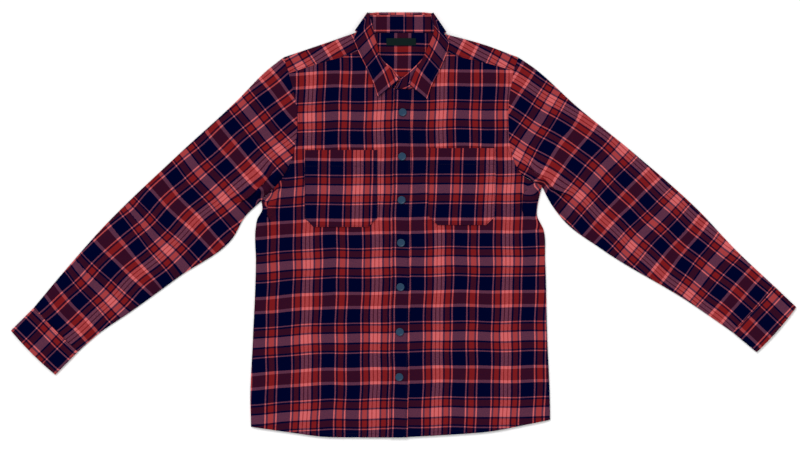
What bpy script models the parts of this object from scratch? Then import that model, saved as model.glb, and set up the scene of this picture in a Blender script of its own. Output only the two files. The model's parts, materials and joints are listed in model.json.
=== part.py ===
"""A long-sleeved flannel shirt with its front buttoned, laid flat on its back.

The collar points to +Y, the front faces +Z and the shirt rests on z = 0. The wearer's right side
is at -X. Every piece that is cut and sewn on is one object: a wall of cloth that is built on its
middle surface and given its thickness by a Solidify modifier. Lengths are in millimetres, and
MM turns them into metres when a mesh is made.
"""
import bmesh
import bpy
import numpy as np

MM = 0.001

# Thickness of the cloth, and of the pieces that hold an interlining.
CLOTH = 1.2
LEAF = 1.8
STAND = 2.0
CUFF = 2.0
LABEL = 0.8

# Gaps: beside a seam, and between a piece and the one that it lies on.
SEAM = 0.4
LAID = 0.6

# Heights of the middle surfaces: the lower layer, and the upper layer at the folded edges.
LOWER = CLOTH / 2
EDGE = LOWER + CLOTH + LAID
# The upper layer rises by LOFT over the first ROUND millimetres in from a folded edge.
LOFT = 1.5
ROUND = 14.0

# The fall of the collar lies under the back of the neck and lifts what is over it by LIFT, in
# full above the line LIFT_TOP, out to LIFT_SIDE from the centre of the neck.
LIFT = 2.5
LIFT_TOP = 333.0
LIFT_RAMP = 15.0
LIFT_SIDE = 105.0
LIFT_FADE = 30.0
NECK_X = -5.0

# Rows and columns that the larger pieces are divided into.
ARMHOLE_STEPS = 10
SIDE_ROWS = (0.0, 0.16, 0.32, 0.48, 0.62, 0.74, 0.81, 0.87, 0.92, 0.96, 1.0)
YOKE_BACK_ROW = 2
SIDE_COLUMNS = (0.0, 0.02, 0.06, 0.14, 0.28, 0.46, 0.64, 0.82, 1.0)

# Shoulder folds, from the neck to the sleeve: x, y.
SHOULDER = {
    "right": ((-86.0, 359.5), (-150.0, 337.5), (-224.0, 312.5)),
    "left": ((78.0, 355.5), (146.0, 337.5), (214.0, 312.5)),
}
# Seam of the yoke on the front, from the neck to the armhole: x, y.
YOKE_SEAM = {
    "right": ((-77.5, 328.0), (-104.0, 317.0), (-154.5, 302.0), (-214.7, 282.4)),
    "left": ((75.5, 325.0), (100.0, 315.0), (155.0, 301.5), (206.5, 287.0)),
}
# Armhole, from the end of the yoke seam to the underarm: x, y.
ARMHOLE = {
    "right": ((-214.7, 282.4), (-203.0, 238.4), (-198.4, 181.4), (-208.3, 124.4),
              (-228.5, 83.8), (-265.7, 44.9)),
    "left": ((206.5, 287.0), (197.5, 236.6), (195.6, 191.0), (203.6, 126.0),
             (219.4, 94.6), (258.6, 72.4)),
}
# Side of the body, from the underarm to the hem: x, y.
SIDE = {
    "right": ((-265.7, 44.9), (-264.0, 28.0), (-273.4, 9.4), (-276.6, -9.4), (-276.0, -66.0),
              (-281.6, -216.0), (-286.3, -328.0), (-285.0, -378.0)),
    "left": ((258.6, 72.4), (250.8, 39.6), (248.9, 18.5), (261.2, -9.0), (264.4, -66.0),
             (268.5, -216.0), (273.0, -320.0), (273.8, -365.0)),
}
# Hem, from the side to where the front ends under the band: x, y.
HEM = {
    "right": ((-285.0, -378.0), (-210.6, -388.6), (-153.0, -396.3), (-80.0, -397.8),
              (-1.0, -398.0)),
    "left": ((273.8, -365.0), (228.0, -374.2), (167.0, -386.0), (90.0, -392.5), (1.0, -397.5)),
}
# Neckline of each front, from the centre to the yoke seam: x, y.
NECKLINE = {
    "right": ((6.0, 252.5), (-18.0, 254.5), (-42.0, 266.0), (-60.0, 284.0), (-72.0, 305.0),
              (-77.5, 328.0)),
    "left": ((8.0, 252.5), (30.0, 257.5), (46.0, 267.0), (60.0, 282.0), (71.0, 303.0),
             (75.5, 325.0)),
}
BACK_NECK_Y = 358.0

# Sleeve edges: along the top fold and along the lower fold, from the body to the cuff: x, y.
SLEEVE_TOP = {
    "right": ((-224.0, 312.5), (-255.0, 288.0), (-309.7, 232.8), (-422.8, 128.7),
              (-567.7, -12.0), (-632.0, -85.0), (-691.9, -156.3)),
    "left": ((214.0, 312.5), (240.0, 295.0), (323.0, 221.0), (430.7, 133.0), (554.0, 23.4),
             (621.0, -47.7), (694.5, -117.0)),
}
SLEEVE_LOW = {
    "right": ((-265.7, 44.9), (-298.0, 13.0), (-318.5, -23.4), (-420.4, -98.0), (-511.6, -164.0),
              (-570.0, -204.0), (-608.9, -237.9)),
    "left": ((258.6, 72.4), (275.6, 39.6), (299.4, 8.0), (373.0, -47.7), (535.6, -146.4),
             (573.0, -172.0), (616.5, -202.5)),
}
SLEEVE_STEPS = 16
# How far the sleeve stands clear of the body at the underarm.
UNDERARM_CLEAR = 2.0
# The curve of the armhole fades from the sleeve's sections over this share of its length.
ARMHOLE_FADE = 0.028

# Cuff corners: x, y, the first two at the sleeve. BOW is how far the open end curves outwards.
CUFF_CORNERS = {
    "right": {"seam top": (-691.9, -156.3), "seam low": (-608.9, -237.9),
              "end top": (-733.8, -198.2), "end low": (-650.8, -280.7)},
    "left": {"seam top": (694.5, -117.0), "seam low": (616.5, -202.5),
             "end top": (733.8, -154.3), "end low": (660.0, -238.6)},
}
CUFF_BOW = 2.5
CUFF_COLUMNS = 6

# Folds of the upper layer at the underarms: start, end, how far the fold bows to its left,
# height, and half width.
FOLDS = (
    {"start": (-200.0, 132.0), "end": (-312.0, 40.0), "bow": 6.0, "height": 7.0, "width": 18.0},
    {"start": (-240.0, 84.0), "end": (-262.0, 52.0), "bow": 2.0, "height": 4.0, "width": 13.0},
    {"start": (-252.0, 40.0), "end": (-266.0, -30.0), "bow": 0.0, "height": 3.0, "width": 12.0},
    {"start": (200.0, 128.0), "end": (300.0, 66.0), "bow": -8.0, "height": 7.0, "width": 18.0},
    {"start": (272.0, 70.0), "end": (322.0, -2.0), "bow": 0.0, "height": 4.0, "width": 14.0},
    {"start": (243.0, 76.0), "end": (243.0, 2.0), "bow": 4.0, "height": 4.0, "width": 13.0},
)

# Front band: x of its two long edges at the neck and at the hem.
BAND = {"neck y": 251.6, "hem y": -397.6, "neck": (-18.0, 15.7), "hem": (-26.4, 7.5)}

# Patch pockets: left and right edge, top, bottom, and the size of the cut-off lower corners.
POCKETS = {
    "right": {"x": (-185.0, -49.0), "top": 139.0, "bottom": -4.5, "corner": 17.0},
    "left": {"x": (46.5, 171.5), "top": 142.5, "bottom": -1.0, "corner": 17.0},
}

# Neck label on the inside of the yoke.
LABEL_BOX = {"x": (-32.0, 23.0), "y": (334.5, 348.0)}

# Collar stand, a row for each section from the end at the centre to the fold at the side of the
# neck: the point on the neckline seam, then the point on the upper edge.
STAND_FRONT = {
    "right": (((-17.6, 255.6), (-7.0, 274.5)), ((-41.2, 267.0), (-20.5, 290.5)),
              ((-59.2, 284.8), (-38.5, 307.5)), ((-71.0, 305.5), (-50.0, 327.0)),
              ((-76.4, 328.2), (-57.0, 351.0)), ((-80.0, 345.0), (-62.0, 372.0))),
    "left": (((-16.0, 255.0), (-4.0, 273.0)), ((8.0, 253.8), (4.0, 279.5)),
             ((29.6, 258.8), (16.0, 290.0)), ((45.2, 268.2), (34.5, 309.5)),
             ((59.0, 283.0), (47.5, 325.0)), ((69.9, 303.8), (54.0, 345.0)),
             ((74.3, 326.0), (57.0, 366.0))),
}
STAND_FOLD = {"right": ((-82.5, 359.2), (-62.0, 391.0)), "left": ((74.5, 358.8), (50.0, 391.0))}
STAND_TOP_Y = 391.0

# Collar leaf, a row for each section from the point of the collar to the fold at the side of
# the neck: the place on the outer edge, then the place on the roll.
LEAF_FRONT = {
    "right": (((-47.7, 238.0), (-9.5, 270.0)), ((-57.0, 266.0), (-21.5, 287.5)),
              ((-70.0, 294.0), (-41.0, 308.0)), ((-83.0, 320.0), (-47.7, 328.0)),
              ((-88.5, 333.0), (-51.5, 343.0)), ((-93.0, 346.0), (-56.0, 361.0))),
    "left": (((43.4, 233.6), (9.0, 262.5)), ((54.6, 265.0), (17.5, 281.0)),
             ((66.0, 286.0), (33.0, 305.5)), ((76.0, 309.0), (44.5, 329.5)),
             ((81.5, 323.0), (52.0, 346.0)), ((84.5, 338.0), (56.0, 360.0))),
}
LEAF_FOLD = {"right": ((-90.5, 362.0), (-64.5, 391.5)), "left": ((79.5, 359.0), (53.0, 390.5))}
LEAF_BACK = {"outer y": 352.0, "roll y": 394.6, "seam y": 391.7}
LEAF_OVER = 2.95

# Buttons: place of each centre down the band, and the turned profile as radius and height.
BUTTON_Y = (209.3, 126.8, 45.6, -34.4, -116.9, -200.7, -285.0)
BUTTON_PROFILE = ((0.0, 0.0), (6.7, 0.0), (7.5, 0.8), (7.5, 2.0), (6.4, 2.8), (5.0, 2.2),
                  (0.0, 2.2))
BUTTON_SIDES = 16

COLOURS = {
    "flannel": ((0.080, 0.016, 0.028), 0.95),
    "button": ((0.016, 0.051, 0.107), 0.45),
    "label": ((0.0048, 0.0080, 0.0123), 0.80),
}


def smooth(low, high, value):
    """A rise from 0 at low to 1 at high, level at both ends."""
    part = np.clip((value - low) / (high - low), 0.0, 1.0)
    return part * part * (3.0 - 2.0 * part)


def trace(points, fractions):
    """Places on a smooth curve through the points, at fractions of its length from 0 to 1."""
    points = np.array(points, dtype=float)
    steps = np.linalg.norm(np.diff(points, axis=0), axis=1)
    knots = np.concatenate(([0.0], np.cumsum(steps))) / steps.sum()
    slopes = np.gradient(points, knots, axis=0)
    fractions = np.asarray(fractions, dtype=float)
    span = np.clip(np.searchsorted(knots, fractions, side="right") - 1, 0, len(knots) - 2)
    width = knots[span + 1] - knots[span]
    u = ((fractions - knots[span]) / width)[:, None]
    width = width[:, None]
    return ((2 * u**3 - 3 * u**2 + 1) * points[span] + (u**3 - 2 * u**2 + u) * width * slopes[span]
            + (3 * u**2 - 2 * u**3) * points[span + 1]
            + (u**3 - u**2) * width * slopes[span + 1])


def even(count):
    """Fractions from 0 to 1 in count equal steps."""
    return np.linspace(0.0, 1.0, count + 1)


def between(start, end, fractions):
    """Places on the straight line from start to end."""
    return start + np.asarray(fractions)[:, None] * (end - start)


def patch(first, last, start, end, columns, rows=None):
    """A grid of places between four edges: first and last row, start and end column."""
    across = np.asarray(columns)[None, :, None]
    rows = even(len(start) - 1) if rows is None else np.asarray(rows)
    along = rows[:, None, None]
    rows = (1 - along) * first[None] + along * last[None]
    sides = (1 - across) * start[:, None] + across * end[:, None]
    corners = ((1 - across) * (1 - along) * first[0] + across * (1 - along) * first[-1]
               + (1 - across) * along * last[0] + across * along * last[-1])
    return rows + sides - corners


def distance(plan, line):
    """Distance from each place to a line of points."""
    line = np.asarray(line)
    start, run = line[:-1], np.diff(line, axis=0)
    away = plan[..., None, :] - start
    along = np.clip((away * run).sum(-1) / (run * run).sum(-1), 0.0, 1.0)
    return np.linalg.norm(away - along[..., None] * run, axis=-1).min(-1)


def folded_edges():
    """The lines where the shirt is folded: shoulders, sleeves and sides."""
    lines = []
    for side in ("right", "left"):
        shoulder = trace(SHOULDER[side], np.linspace(0.2, 1.0, 6))
        top = trace(SLEEVE_TOP[side], even(24))
        lines.append(np.concatenate((shoulder, top[1:])))
        lines.append(trace(SLEEVE_LOW[side], even(24)))
        lines.append(trace(SIDE[side], even(30)))
    return lines


FOLDED_EDGES = folded_edges()


def neck_lift(plan):
    """How far the collar under the neck raises what lies over it."""
    up = smooth(LIFT_TOP - LIFT_RAMP, LIFT_TOP, plan[..., 1])
    out = 1.0 - smooth(LIFT_SIDE, LIFT_SIDE + LIFT_FADE, np.abs(plan[..., 0] - NECK_X))
    return LIFT * up * out


def fold_height(plan, fold):
    """Height of one fold: a soft ridge along a bowed line, running out at both ends."""
    start, end = np.array(fold["start"]), np.array(fold["end"])
    run = end - start
    left = np.array((-run[1], run[0])) / np.linalg.norm(run)
    along = even(10)[:, None]
    line = start + along * run + 4 * along * (1 - along) * fold["bow"] * left
    away = distance(plan, line)
    place = np.clip(((plan - start) * run).sum(-1) / (run * run).sum(), 0.0, 1.0)
    ends = smooth(0.0, 0.25, place) * (1 - smooth(0.75, 1.0, place))
    return fold["height"] * ends * (1 - smooth(0.0, fold["width"], away))


def lower(plan):
    """Height of the middle surface of the lower layer."""
    return LOWER + neck_lift(plan)


def upper(plan):
    """Height of the middle surface of the upper layer."""
    inside = np.min([distance(plan, line) for line in FOLDED_EDGES], axis=0)
    rise = smooth(0.0, ROUND, inside)
    folds = sum(fold_height(plan, fold) for fold in FOLDS)
    return EDGE + LOFT * rise + folds * rise + neck_lift(plan)


def place(plan, height):
    """Plan places with their heights, as x, y, z."""
    height = np.broadcast_to(height, plan.shape[:-1])
    return np.concatenate((plan, height[..., None]), axis=-1)


def bend(line, outward, top, bottom, steps):
    """Columns of places half way round a folded edge, from just under the top to the bottom."""
    middle = (top + bottom) / 2
    radius = (top - bottom) / 2
    columns = []
    for angle in np.linspace(np.pi / 2, -np.pi / 2, steps + 1)[1:-1]:
        plan = line + np.cos(angle) * radius[:, None] * outward
        columns.append(place(plan, middle + np.sin(angle) * radius))
    return columns


def material(name):
    """The finish of one kind of piece."""
    colour, roughness = COLOURS[name]
    finish = bpy.data.materials.get(name)
    if finish is None:
        finish = bpy.data.materials.new(name)
        finish.use_nodes = True
        shader = finish.node_tree.nodes["Principled BSDF"]
        shader.inputs["Base Color"].default_value = (*colour, 1.0)
        shader.inputs["Roughness"].default_value = roughness
        shader.inputs["Metallic"].default_value = 0.0
    return finish


def add_object(name, mesh_data, parent, finish):
    """Put a bmesh in the scene as one named object."""
    mesh = bpy.data.meshes.new(name)
    mesh_data.to_mesh(mesh)
    mesh_data.free()
    mesh.materials.append(material(finish))
    obj = bpy.data.objects.new(name, mesh)
    obj.parent = parent
    bpy.context.scene.collection.objects.link(obj)
    return obj


def thicken(obj, thickness):
    """Give a middle surface its wall, half to each side."""
    wall = obj.modifiers.new("wall", "SOLIDIFY")
    wall.thickness = thickness * MM
    wall.offset = 0.0
    wall.use_even_offset = False
    wall.use_rim = True


def cloth(name, grids, thickness, parent, finish="flannel"):
    """One piece of cloth from grids of middle-surface places that share their common edges."""
    form = bmesh.new()
    for grid in grids:
        rows = [[form.verts.new(point * MM) for point in row] for row in grid]
        for near, far in zip(rows, rows[1:]):
            for a, b, c, d in zip(near, near[1:], far[1:], far):
                form.faces.new((a, b, c, d))
    bmesh.ops.remove_doubles(form, verts=form.verts, dist=0.01 * MM)
    bmesh.ops.recalc_face_normals(form, faces=form.faces)
    obj = add_object(name, form, parent, finish)
    thicken(obj, thickness)
    return obj


def outline_piece(name, corners, height, thickness, parent, finish="flannel"):
    """One flat piece of cloth from the corners of its outline."""
    form = bmesh.new()
    form.faces.new([form.verts.new((x * MM, y * MM, height * MM)) for x, y in corners])
    obj = add_object(name, form, parent, finish)
    thicken(obj, thickness)
    return obj


def armhole_places(side):
    """Places down the armhole, shared by the body, the yoke and the sleeve."""
    return trace(ARMHOLE[side], even(ARMHOLE_STEPS))


def outward_of(side):
    """-1 on the wearer's right, which is at -X, and 1 on the left."""
    return -1.0 if side == "right" else 1.0


def build_front(side, parent):
    """A front: from the side seam to under the band, and from the hem to the yoke seam."""
    columns = SIDE_COLUMNS
    neckline = np.array(NECKLINE[side])
    armhole = armhole_places(side)[::-1]
    hem = trace(HEM[side], columns)
    hem[-1, 0] = BAND["hem"][0] + neckline[0, 0] - BAND["neck"][0]
    yoke_seam = trace(YOKE_SEAM[side][::-1], columns) - (0.0, SEAM)
    side_seam = trace(SIDE[side][::-1], SIDE_ROWS)
    centre_steps = len(armhole) - len(neckline)
    chest_y = armhole[0, 1] + 10.0
    share = (chest_y - hem[-1, 1]) / (neckline[0, 1] - hem[-1, 1])
    chest_centre = hem[-1] + share * (neckline[0] - hem[-1])
    chest = between(armhole[0], chest_centre, columns)
    low_centre = between(hem[-1], chest_centre, SIDE_ROWS)
    body = patch(hem, chest, side_seam, low_centre, columns, SIDE_ROWS)
    up_centre = between(chest_centre, neckline[0], even(centre_steps))
    inner = np.concatenate((up_centre, neckline[1:]))
    inner[-1] = yoke_seam[-1]
    outer = armhole.copy()
    outer[-1] = yoke_seam[0]
    top = patch(chest, yoke_seam, outer, inner, columns)
    grids = [place(plan, upper(plan)) for plan in (body, top)]
    cloth(f"front_{side}", grids, CLOTH, parent)


def back_columns():
    """Places across the back at the foot of the yoke, from the right armhole to the left."""
    right = armhole_places("right")[YOKE_BACK_ROW]
    left = armhole_places("left")[YOKE_BACK_ROW]
    return right, left


def build_back(parent):
    """The back: from the hem to the yoke, between the side seams and the armholes."""
    columns = even(6)
    right_seam, left_seam = back_columns()
    hem_line = HEM["right"] + HEM["left"][::-1][1:]
    hem = trace(hem_line, columns) + (0.0, 1.0)
    edges = []
    for side in ("right", "left"):
        seam = trace(SIDE[side][::-1], SIDE_ROWS)
        armhole = armhole_places(side)[YOKE_BACK_ROW:][::-1]
        edges.append(np.concatenate((seam, armhole[1:])))
    edges[0][0], edges[1][0] = hem[0], hem[-1]
    top = between(right_seam, left_seam, columns) - (0.0, SEAM)
    edges[0][-1], edges[1][-1] = top[0], top[-1]
    plan = patch(hem, top, edges[0], edges[1], columns)
    cloth("back", [place(plan, LOWER)], CLOTH, parent)


def shoulder_fold(side, columns):
    """Fold line of a shoulder inside its outline, from the armhole to the neck, and its way out."""
    line = trace(SHOULDER[side][::-1], columns)
    run = line[-1] - line[0]
    out = np.array((-run[1], run[0])) / np.linalg.norm(run)
    if out[1] < 0:
        out = -out
    return line, out


def build_yoke(parent):
    """The yoke: across the back of the shoulders, over them, and down to the front yoke seam."""
    back_rows = np.array((0.0, 0.4, 0.675, 0.74, 0.8, 1.0))
    seams = dict(zip(("right", "left"), back_columns()))
    grids = []
    necks = {}
    for side in ("right", "left"):
        line, out = shoulder_fold(side, SIDE_COLUMNS)
        armhole = armhole_places(side)
        foot_end = seams[side] + (seams["left"] - seams["right"]) * (-0.26 * outward_of(side))
        foot = between(seams[side], foot_end, SIDE_COLUMNS)
        top = upper(line)
        bottom = lower(line)
        inset = (top - bottom) / 2 + CLOTH / 2
        fold = line - inset[:, None] * out
        outer = trace((seams[side], armhole[1], armhole[0], fold[0]), back_rows)
        inner = between(foot[-1], fold[-1], back_rows)
        under = patch(foot, fold, outer, inner, SIDE_COLUMNS, back_rows)
        seam = trace(YOKE_SEAM[side][::-1], SIDE_COLUMNS)
        flap_out = between(fold[0], seam[0], even(3))
        flap_in = between(fold[-1], seam[-1], even(3))
        over = patch(fold, seam, flap_out, flap_in, SIDE_COLUMNS)
        lower_grid = place(under, lower(under))
        upper_grid = place(over, upper(over))
        rounds = bend(fold, out, upper_grid[0, :, 2], lower_grid[-1, :, 2], 4)
        grids.append(np.concatenate((lower_grid, np.array(rounds)[::-1], upper_grid)))
        necks[side] = under[:, -1]
    middle = even(6)
    foot = between(necks["right"][0], necks["left"][0], middle)
    neck = between(necks["right"][-1], necks["left"][-1], middle)
    neck[1:-1, 1] = BACK_NECK_Y - SEAM / 2
    centre = patch(foot, neck, necks["right"], necks["left"], middle, back_rows)
    grids.append(place(centre, lower(centre)))
    cloth("yoke", grids, CLOTH, parent)


def tube(name, sections, thickness, floor, rise, parent):
    """A flattened tube: each section is a row of places from its top fold to its lower fold."""
    rows = []
    for section, heights in zip(sections, rise):
        across = section[-1] - section[0]
        width = np.linalg.norm(across)
        gap = np.array((heights[0], heights[-1])) - floor
        inset = gap.max() / 2 + thickness / 2
        middle = (section[0] + section[-1]) / 2
        plan = middle + (section - middle) * (1 - 2 * inset / width)
        ends = np.array((plan[0], plan[-1]))
        top = np.array((heights[0], heights[-1]))
        bottom = np.full(2, floor)
        out = across / width
        far = [column[1] for column in bend(ends, out, top, bottom, 3)]
        near = [column[0] for column in bend(ends, -out, top, bottom, 3)]
        under = place(plan, floor)[::-1]
        rows.append(np.concatenate((place(plan, heights), far, under, near[::-1],
                                    place(plan[:1], heights[:1]))))
    cloth(name, [np.array(rows)], thickness, parent)


def build_sleeve(side, parent):
    """A sleeve: a flattened tube from the armhole to the cuff seam."""
    out = outward_of(side)
    yoke_end = trace((SHOULDER[side][-1], ARMHOLE[side][0]), even(2))
    start = np.concatenate((yoke_end[:-1], armhole_places(side))) + (out * SEAM, 0.0)
    columns = even(len(start) - 1)
    start = start + (columns**4)[:, None] * (0.0, UNDERARM_CLEAR)
    rows = even(SLEEVE_STEPS) ** 1.2
    top = trace(SLEEVE_TOP[side], rows)[:, None]
    low = trace(SLEEVE_LOW[side], rows)[:, None]
    top[0], low[0] = start[0], start[-1]
    seam = low[-1, 0] - top[-1, 0]
    inward = np.array((seam[1], -seam[0])) * out / np.linalg.norm(seam)
    top[-1], low[-1] = top[-1] + SEAM * inward, low[-1] + SEAM * inward
    curve = start - between(start[0], start[-1], columns)
    fade = np.exp(-rows / ARMHOLE_FADE)[:, None, None]
    plan = top + columns[:, None] * (low - top) + fade * curve
    heights = upper(plan)
    heights[:, 0] = heights[:, -1] = EDGE
    tube(f"sleeve_{side}", plan, CLOTH, LOWER, heights, parent)


def build_cuff(side, parent):
    """A cuff: a flattened tube of interlined cloth round the end of the sleeve."""
    corners = {name: np.array(corner) for name, corner in CUFF_CORNERS[side].items()}
    columns = even(CUFF_COLUMNS)
    along = corners["end top"] - corners["seam top"]
    along = along / np.linalg.norm(along)
    start = between(corners["seam top"], corners["seam low"], columns)
    end = between(corners["end top"], corners["end low"], columns)
    end = end + (4 * columns * (1 - columns) * CUFF_BOW)[:, None] * along
    plan = patch(start, end, between(start[0], end[0], even(3)),
                 between(start[-1], end[-1], even(3)), columns)
    floor = CUFF / 2
    edge = floor + CUFF + LAID
    crown = 4 * columns * (1 - columns) * LOFT * 0.5
    heights = np.broadcast_to(edge + crown, plan.shape[:-1])
    tube(f"cuff_{side}", plan, CUFF, floor, heights, parent)


def build_band(parent):
    """The buttonhole band down the centre front, over both fronts."""
    neck = np.array([(x, BAND["neck y"]) for x in BAND["neck"]])
    hem = np.array([(x, BAND["hem y"]) for x in BAND["hem"]])
    plan = hem + even(8)[:, None, None] * (neck - hem)
    cloth("front_band", [place(plan, EDGE + LOFT + CLOTH + LAID)], CLOTH, parent)


def build_pocket(side, parent):
    """A patch pocket with its lower corners cut off."""
    size = POCKETS[side]
    left, right = size["x"]
    corner = size["corner"]
    outline = ((left, size["top"]), (left, size["bottom"] + corner),
               (left + corner, size["bottom"]), (right - corner, size["bottom"]),
               (right, size["bottom"] + corner), (right, size["top"]))
    outline_piece(f"pocket_{side}", outline, EDGE + LOFT + CLOTH + LAID, CLOTH, parent)


def collar_grid(fronts, folds, back_outer_y, back_inner_y, tops, bottoms, rows, inner_drop):
    """A band round the neck: one front, its fold, the back, the other fold and front."""
    columns = {}
    for side in ("right", "left"):
        outer = np.array([section[0] for section in fronts[side]] + [folds[side][0]])
        inner = np.array([section[1] for section in fronts[side]] + [folds[side][1]])
        plan = outer + rows[:, None, None] * (inner - outer)
        heights = tops(plan) - inner_drop[:, None]
        fold = plan[:, -1]
        run = fold[-1] - fold[0]
        out = np.array((run[1], -run[0])) / np.linalg.norm(run)
        if out[0] * outward_of(side) < 0:
            out = -out
        rounds = bend(fold, out, heights[:, -1], bottoms(fold), 4)
        columns[side] = np.concatenate((place(plan, heights).transpose(1, 0, 2), rounds))
    middle = even(8)
    near, far = (np.array(folds[side]) for side in ("right", "left"))
    near, far = (fold[0] + rows[:, None] * (fold[1] - fold[0]) for fold in (near, far))
    edges = []
    for index, level in ((0, back_outer_y), (-1, back_inner_y)):
        edge = near[index] + middle[:, None] * (far[index] - near[index])
        edge[1:-1, 1] = level
        edges.append(edge)
    back = patch(edges[0], edges[1], near, far, middle)
    back = place(back, bottoms(back)).transpose(1, 0, 2)
    return np.concatenate((columns["right"], back, columns["left"][::-1]))


def build_stand(parent):
    """The collar stand: a band on end round the neck, flattened with its back part below."""
    rows = even(2)
    grid = collar_grid(STAND_FRONT, STAND_FOLD, BACK_NECK_Y + SEAM / 2, STAND_TOP_Y, upper, lower,
                       rows, np.zeros(len(rows)))
    cloth("collar_stand", [grid], STAND, parent)


def build_leaf(parent):
    """The collar leaf: turned down over the stand, on the fronts and under the back neck."""
    rows = np.array((0.0, 0.35, 0.7, 0.93, 1.0))
    inner_drop = np.array((0.0, 0.0, 0.0, 0.1, 0.4))

    def over(plan):
        return upper(plan) + LEAF_OVER

    def under(plan):
        return np.full(plan.shape[:-1], LEAF / 2)

    grid = collar_grid(LEAF_FRONT, LEAF_FOLD, LEAF_BACK["outer y"], LEAF_BACK["roll y"], over,
                       under, rows, inner_drop)
    first = len(LEAF_FRONT["right"]) + 4
    edge = grid[first + 1:first + 8, -1]
    top = np.full(len(edge), LOWER + LIFT)
    rounds = bend(edge[:, :2], np.array((0.0, 1.0)), top, edge[:, 2], 4)
    lip = place(edge[:, :2] * (1, 0) + (0, LEAF_BACK["seam y"]), top)
    roll = np.array([edge, *rounds[::-1], place(edge[:, :2], top), lip])
    cloth("collar_leaf", [grid, roll], LEAF, parent)


def build_label(parent):
    """The blank label on the inside of the yoke."""
    left, right = LABEL_BOX["x"]
    low, high = LABEL_BOX["y"]
    height = LOWER + LIFT + CLOTH / 2 + LAID + LABEL / 2
    outline_piece("neck_label", ((left, low), (right, low), (right, high), (left, high)),
                  height, LABEL, parent, "label")


def build_buttons(parent):
    """The seven buttons down the band, each a turned disc with a low rim."""
    base = EDGE + LOFT + CLOTH + LAID + CLOTH / 2 + LAID / 2
    top_x, hem_x = sum(BAND["neck"]) / 2, sum(BAND["hem"]) / 2
    drop = BAND["neck y"] - BAND["hem y"]
    for number, y in enumerate(BUTTON_Y, start=1):
        x = top_x + (BAND["neck y"] - y) / drop * (hem_x - top_x)
        form = bmesh.new()
        rings = []
        for radius, height in BUTTON_PROFILE:
            count = BUTTON_SIDES if radius > 0 else 1
            angles = [2 * np.pi * step / count for step in range(count)]
            rings.append([form.verts.new((radius * np.cos(a) * MM, radius * np.sin(a) * MM,
                                          height * MM)) for a in angles])
        for low_ring, high_ring in zip(rings, rings[1:]):
            for step in range(BUTTON_SIDES):
                after = (step + 1) % BUTTON_SIDES
                if len(low_ring) == 1:
                    form.faces.new((low_ring[0], high_ring[after], high_ring[step]))
                elif len(high_ring) == 1:
                    form.faces.new((low_ring[step], low_ring[after], high_ring[0]))
                else:
                    form.faces.new((low_ring[step], low_ring[after], high_ring[after],
                                    high_ring[step]))
        bmesh.ops.recalc_face_normals(form, faces=form.faces)
        button = add_object(f"button_{number}", form, parent, "button")
        button.location = (x * MM, y * MM, base * MM)


def centre_on_origin(parent):
    """Move the whole shirt so that its box stands on the origin."""
    bpy.context.view_layer.update()
    graph = bpy.context.evaluated_depsgraph_get()
    corners = []
    for obj in parent.children:
        mesh = obj.evaluated_get(graph).to_mesh()
        corners += [obj.matrix_world @ vertex.co for vertex in mesh.vertices]
    corners = np.array(corners)
    middle = (corners.min(axis=0) + corners.max(axis=0)) / 2
    parent.location = (-middle[0], -middle[1], -corners[:, 2].min())


def main():
    """Build every piece of the shirt."""
    for obj in list(bpy.data.objects):
        bpy.data.objects.remove(obj, do_unlink=True)
    shirt = bpy.data.objects.new("shirt", None)
    bpy.context.scene.collection.objects.link(shirt)
    build_back(shirt)
    build_yoke(shirt)
    for side in ("right", "left"):
        build_front(side, shirt)
        build_pocket(side, shirt)
        build_sleeve(side, shirt)
        build_cuff(side, shirt)
    build_band(shirt)
    build_stand(shirt)
    build_leaf(shirt)
    build_label(shirt)
    build_buttons(shirt)
    centre_on_origin(shirt)


main()
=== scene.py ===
"""Looks of a checked flannel shirt, buttoned up and laid flat on its back.

Every piece is a thin shell of cloth on the form of its solid, made from the same tables of the cut
at a finer step, with a woven check that lies on each piece as it was cut. Lengths are in
millimetres in the tables and turned into metres by MM when a mesh is made.
"""
from __future__ import annotations

import json
import logging
import math
from dataclasses import dataclass, field
from enum import Enum
from typing import Callable, ClassVar, Optional, Sequence, Union

import bmesh
import bpy
import numpy as np
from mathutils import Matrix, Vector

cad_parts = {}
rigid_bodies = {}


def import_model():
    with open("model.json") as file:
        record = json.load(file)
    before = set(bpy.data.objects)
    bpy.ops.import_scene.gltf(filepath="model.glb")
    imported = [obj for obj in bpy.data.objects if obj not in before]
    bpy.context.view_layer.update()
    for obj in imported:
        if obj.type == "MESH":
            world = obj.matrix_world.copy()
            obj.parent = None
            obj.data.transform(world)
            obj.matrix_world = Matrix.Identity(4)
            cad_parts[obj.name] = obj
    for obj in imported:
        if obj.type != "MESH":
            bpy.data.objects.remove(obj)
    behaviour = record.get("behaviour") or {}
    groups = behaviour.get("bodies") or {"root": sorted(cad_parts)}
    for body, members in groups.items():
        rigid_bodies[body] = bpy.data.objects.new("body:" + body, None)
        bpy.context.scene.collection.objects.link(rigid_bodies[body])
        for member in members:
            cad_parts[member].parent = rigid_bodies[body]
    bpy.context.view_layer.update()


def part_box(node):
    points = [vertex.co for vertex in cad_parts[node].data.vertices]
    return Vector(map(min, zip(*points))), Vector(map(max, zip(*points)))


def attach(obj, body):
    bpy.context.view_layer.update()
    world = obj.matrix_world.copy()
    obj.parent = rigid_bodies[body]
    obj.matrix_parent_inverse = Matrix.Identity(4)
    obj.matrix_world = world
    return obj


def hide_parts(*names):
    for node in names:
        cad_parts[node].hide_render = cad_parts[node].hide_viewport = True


LOG = logging.getLogger("shirt")
MM = 0.001
Array = np.ndarray
Plan = tuple[float, float]
Section = tuple[Plan, Plan]
Run = tuple[float, float, int]
Colour = tuple[float, float, float, float]
Number = Union[float, "Value"]


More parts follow.
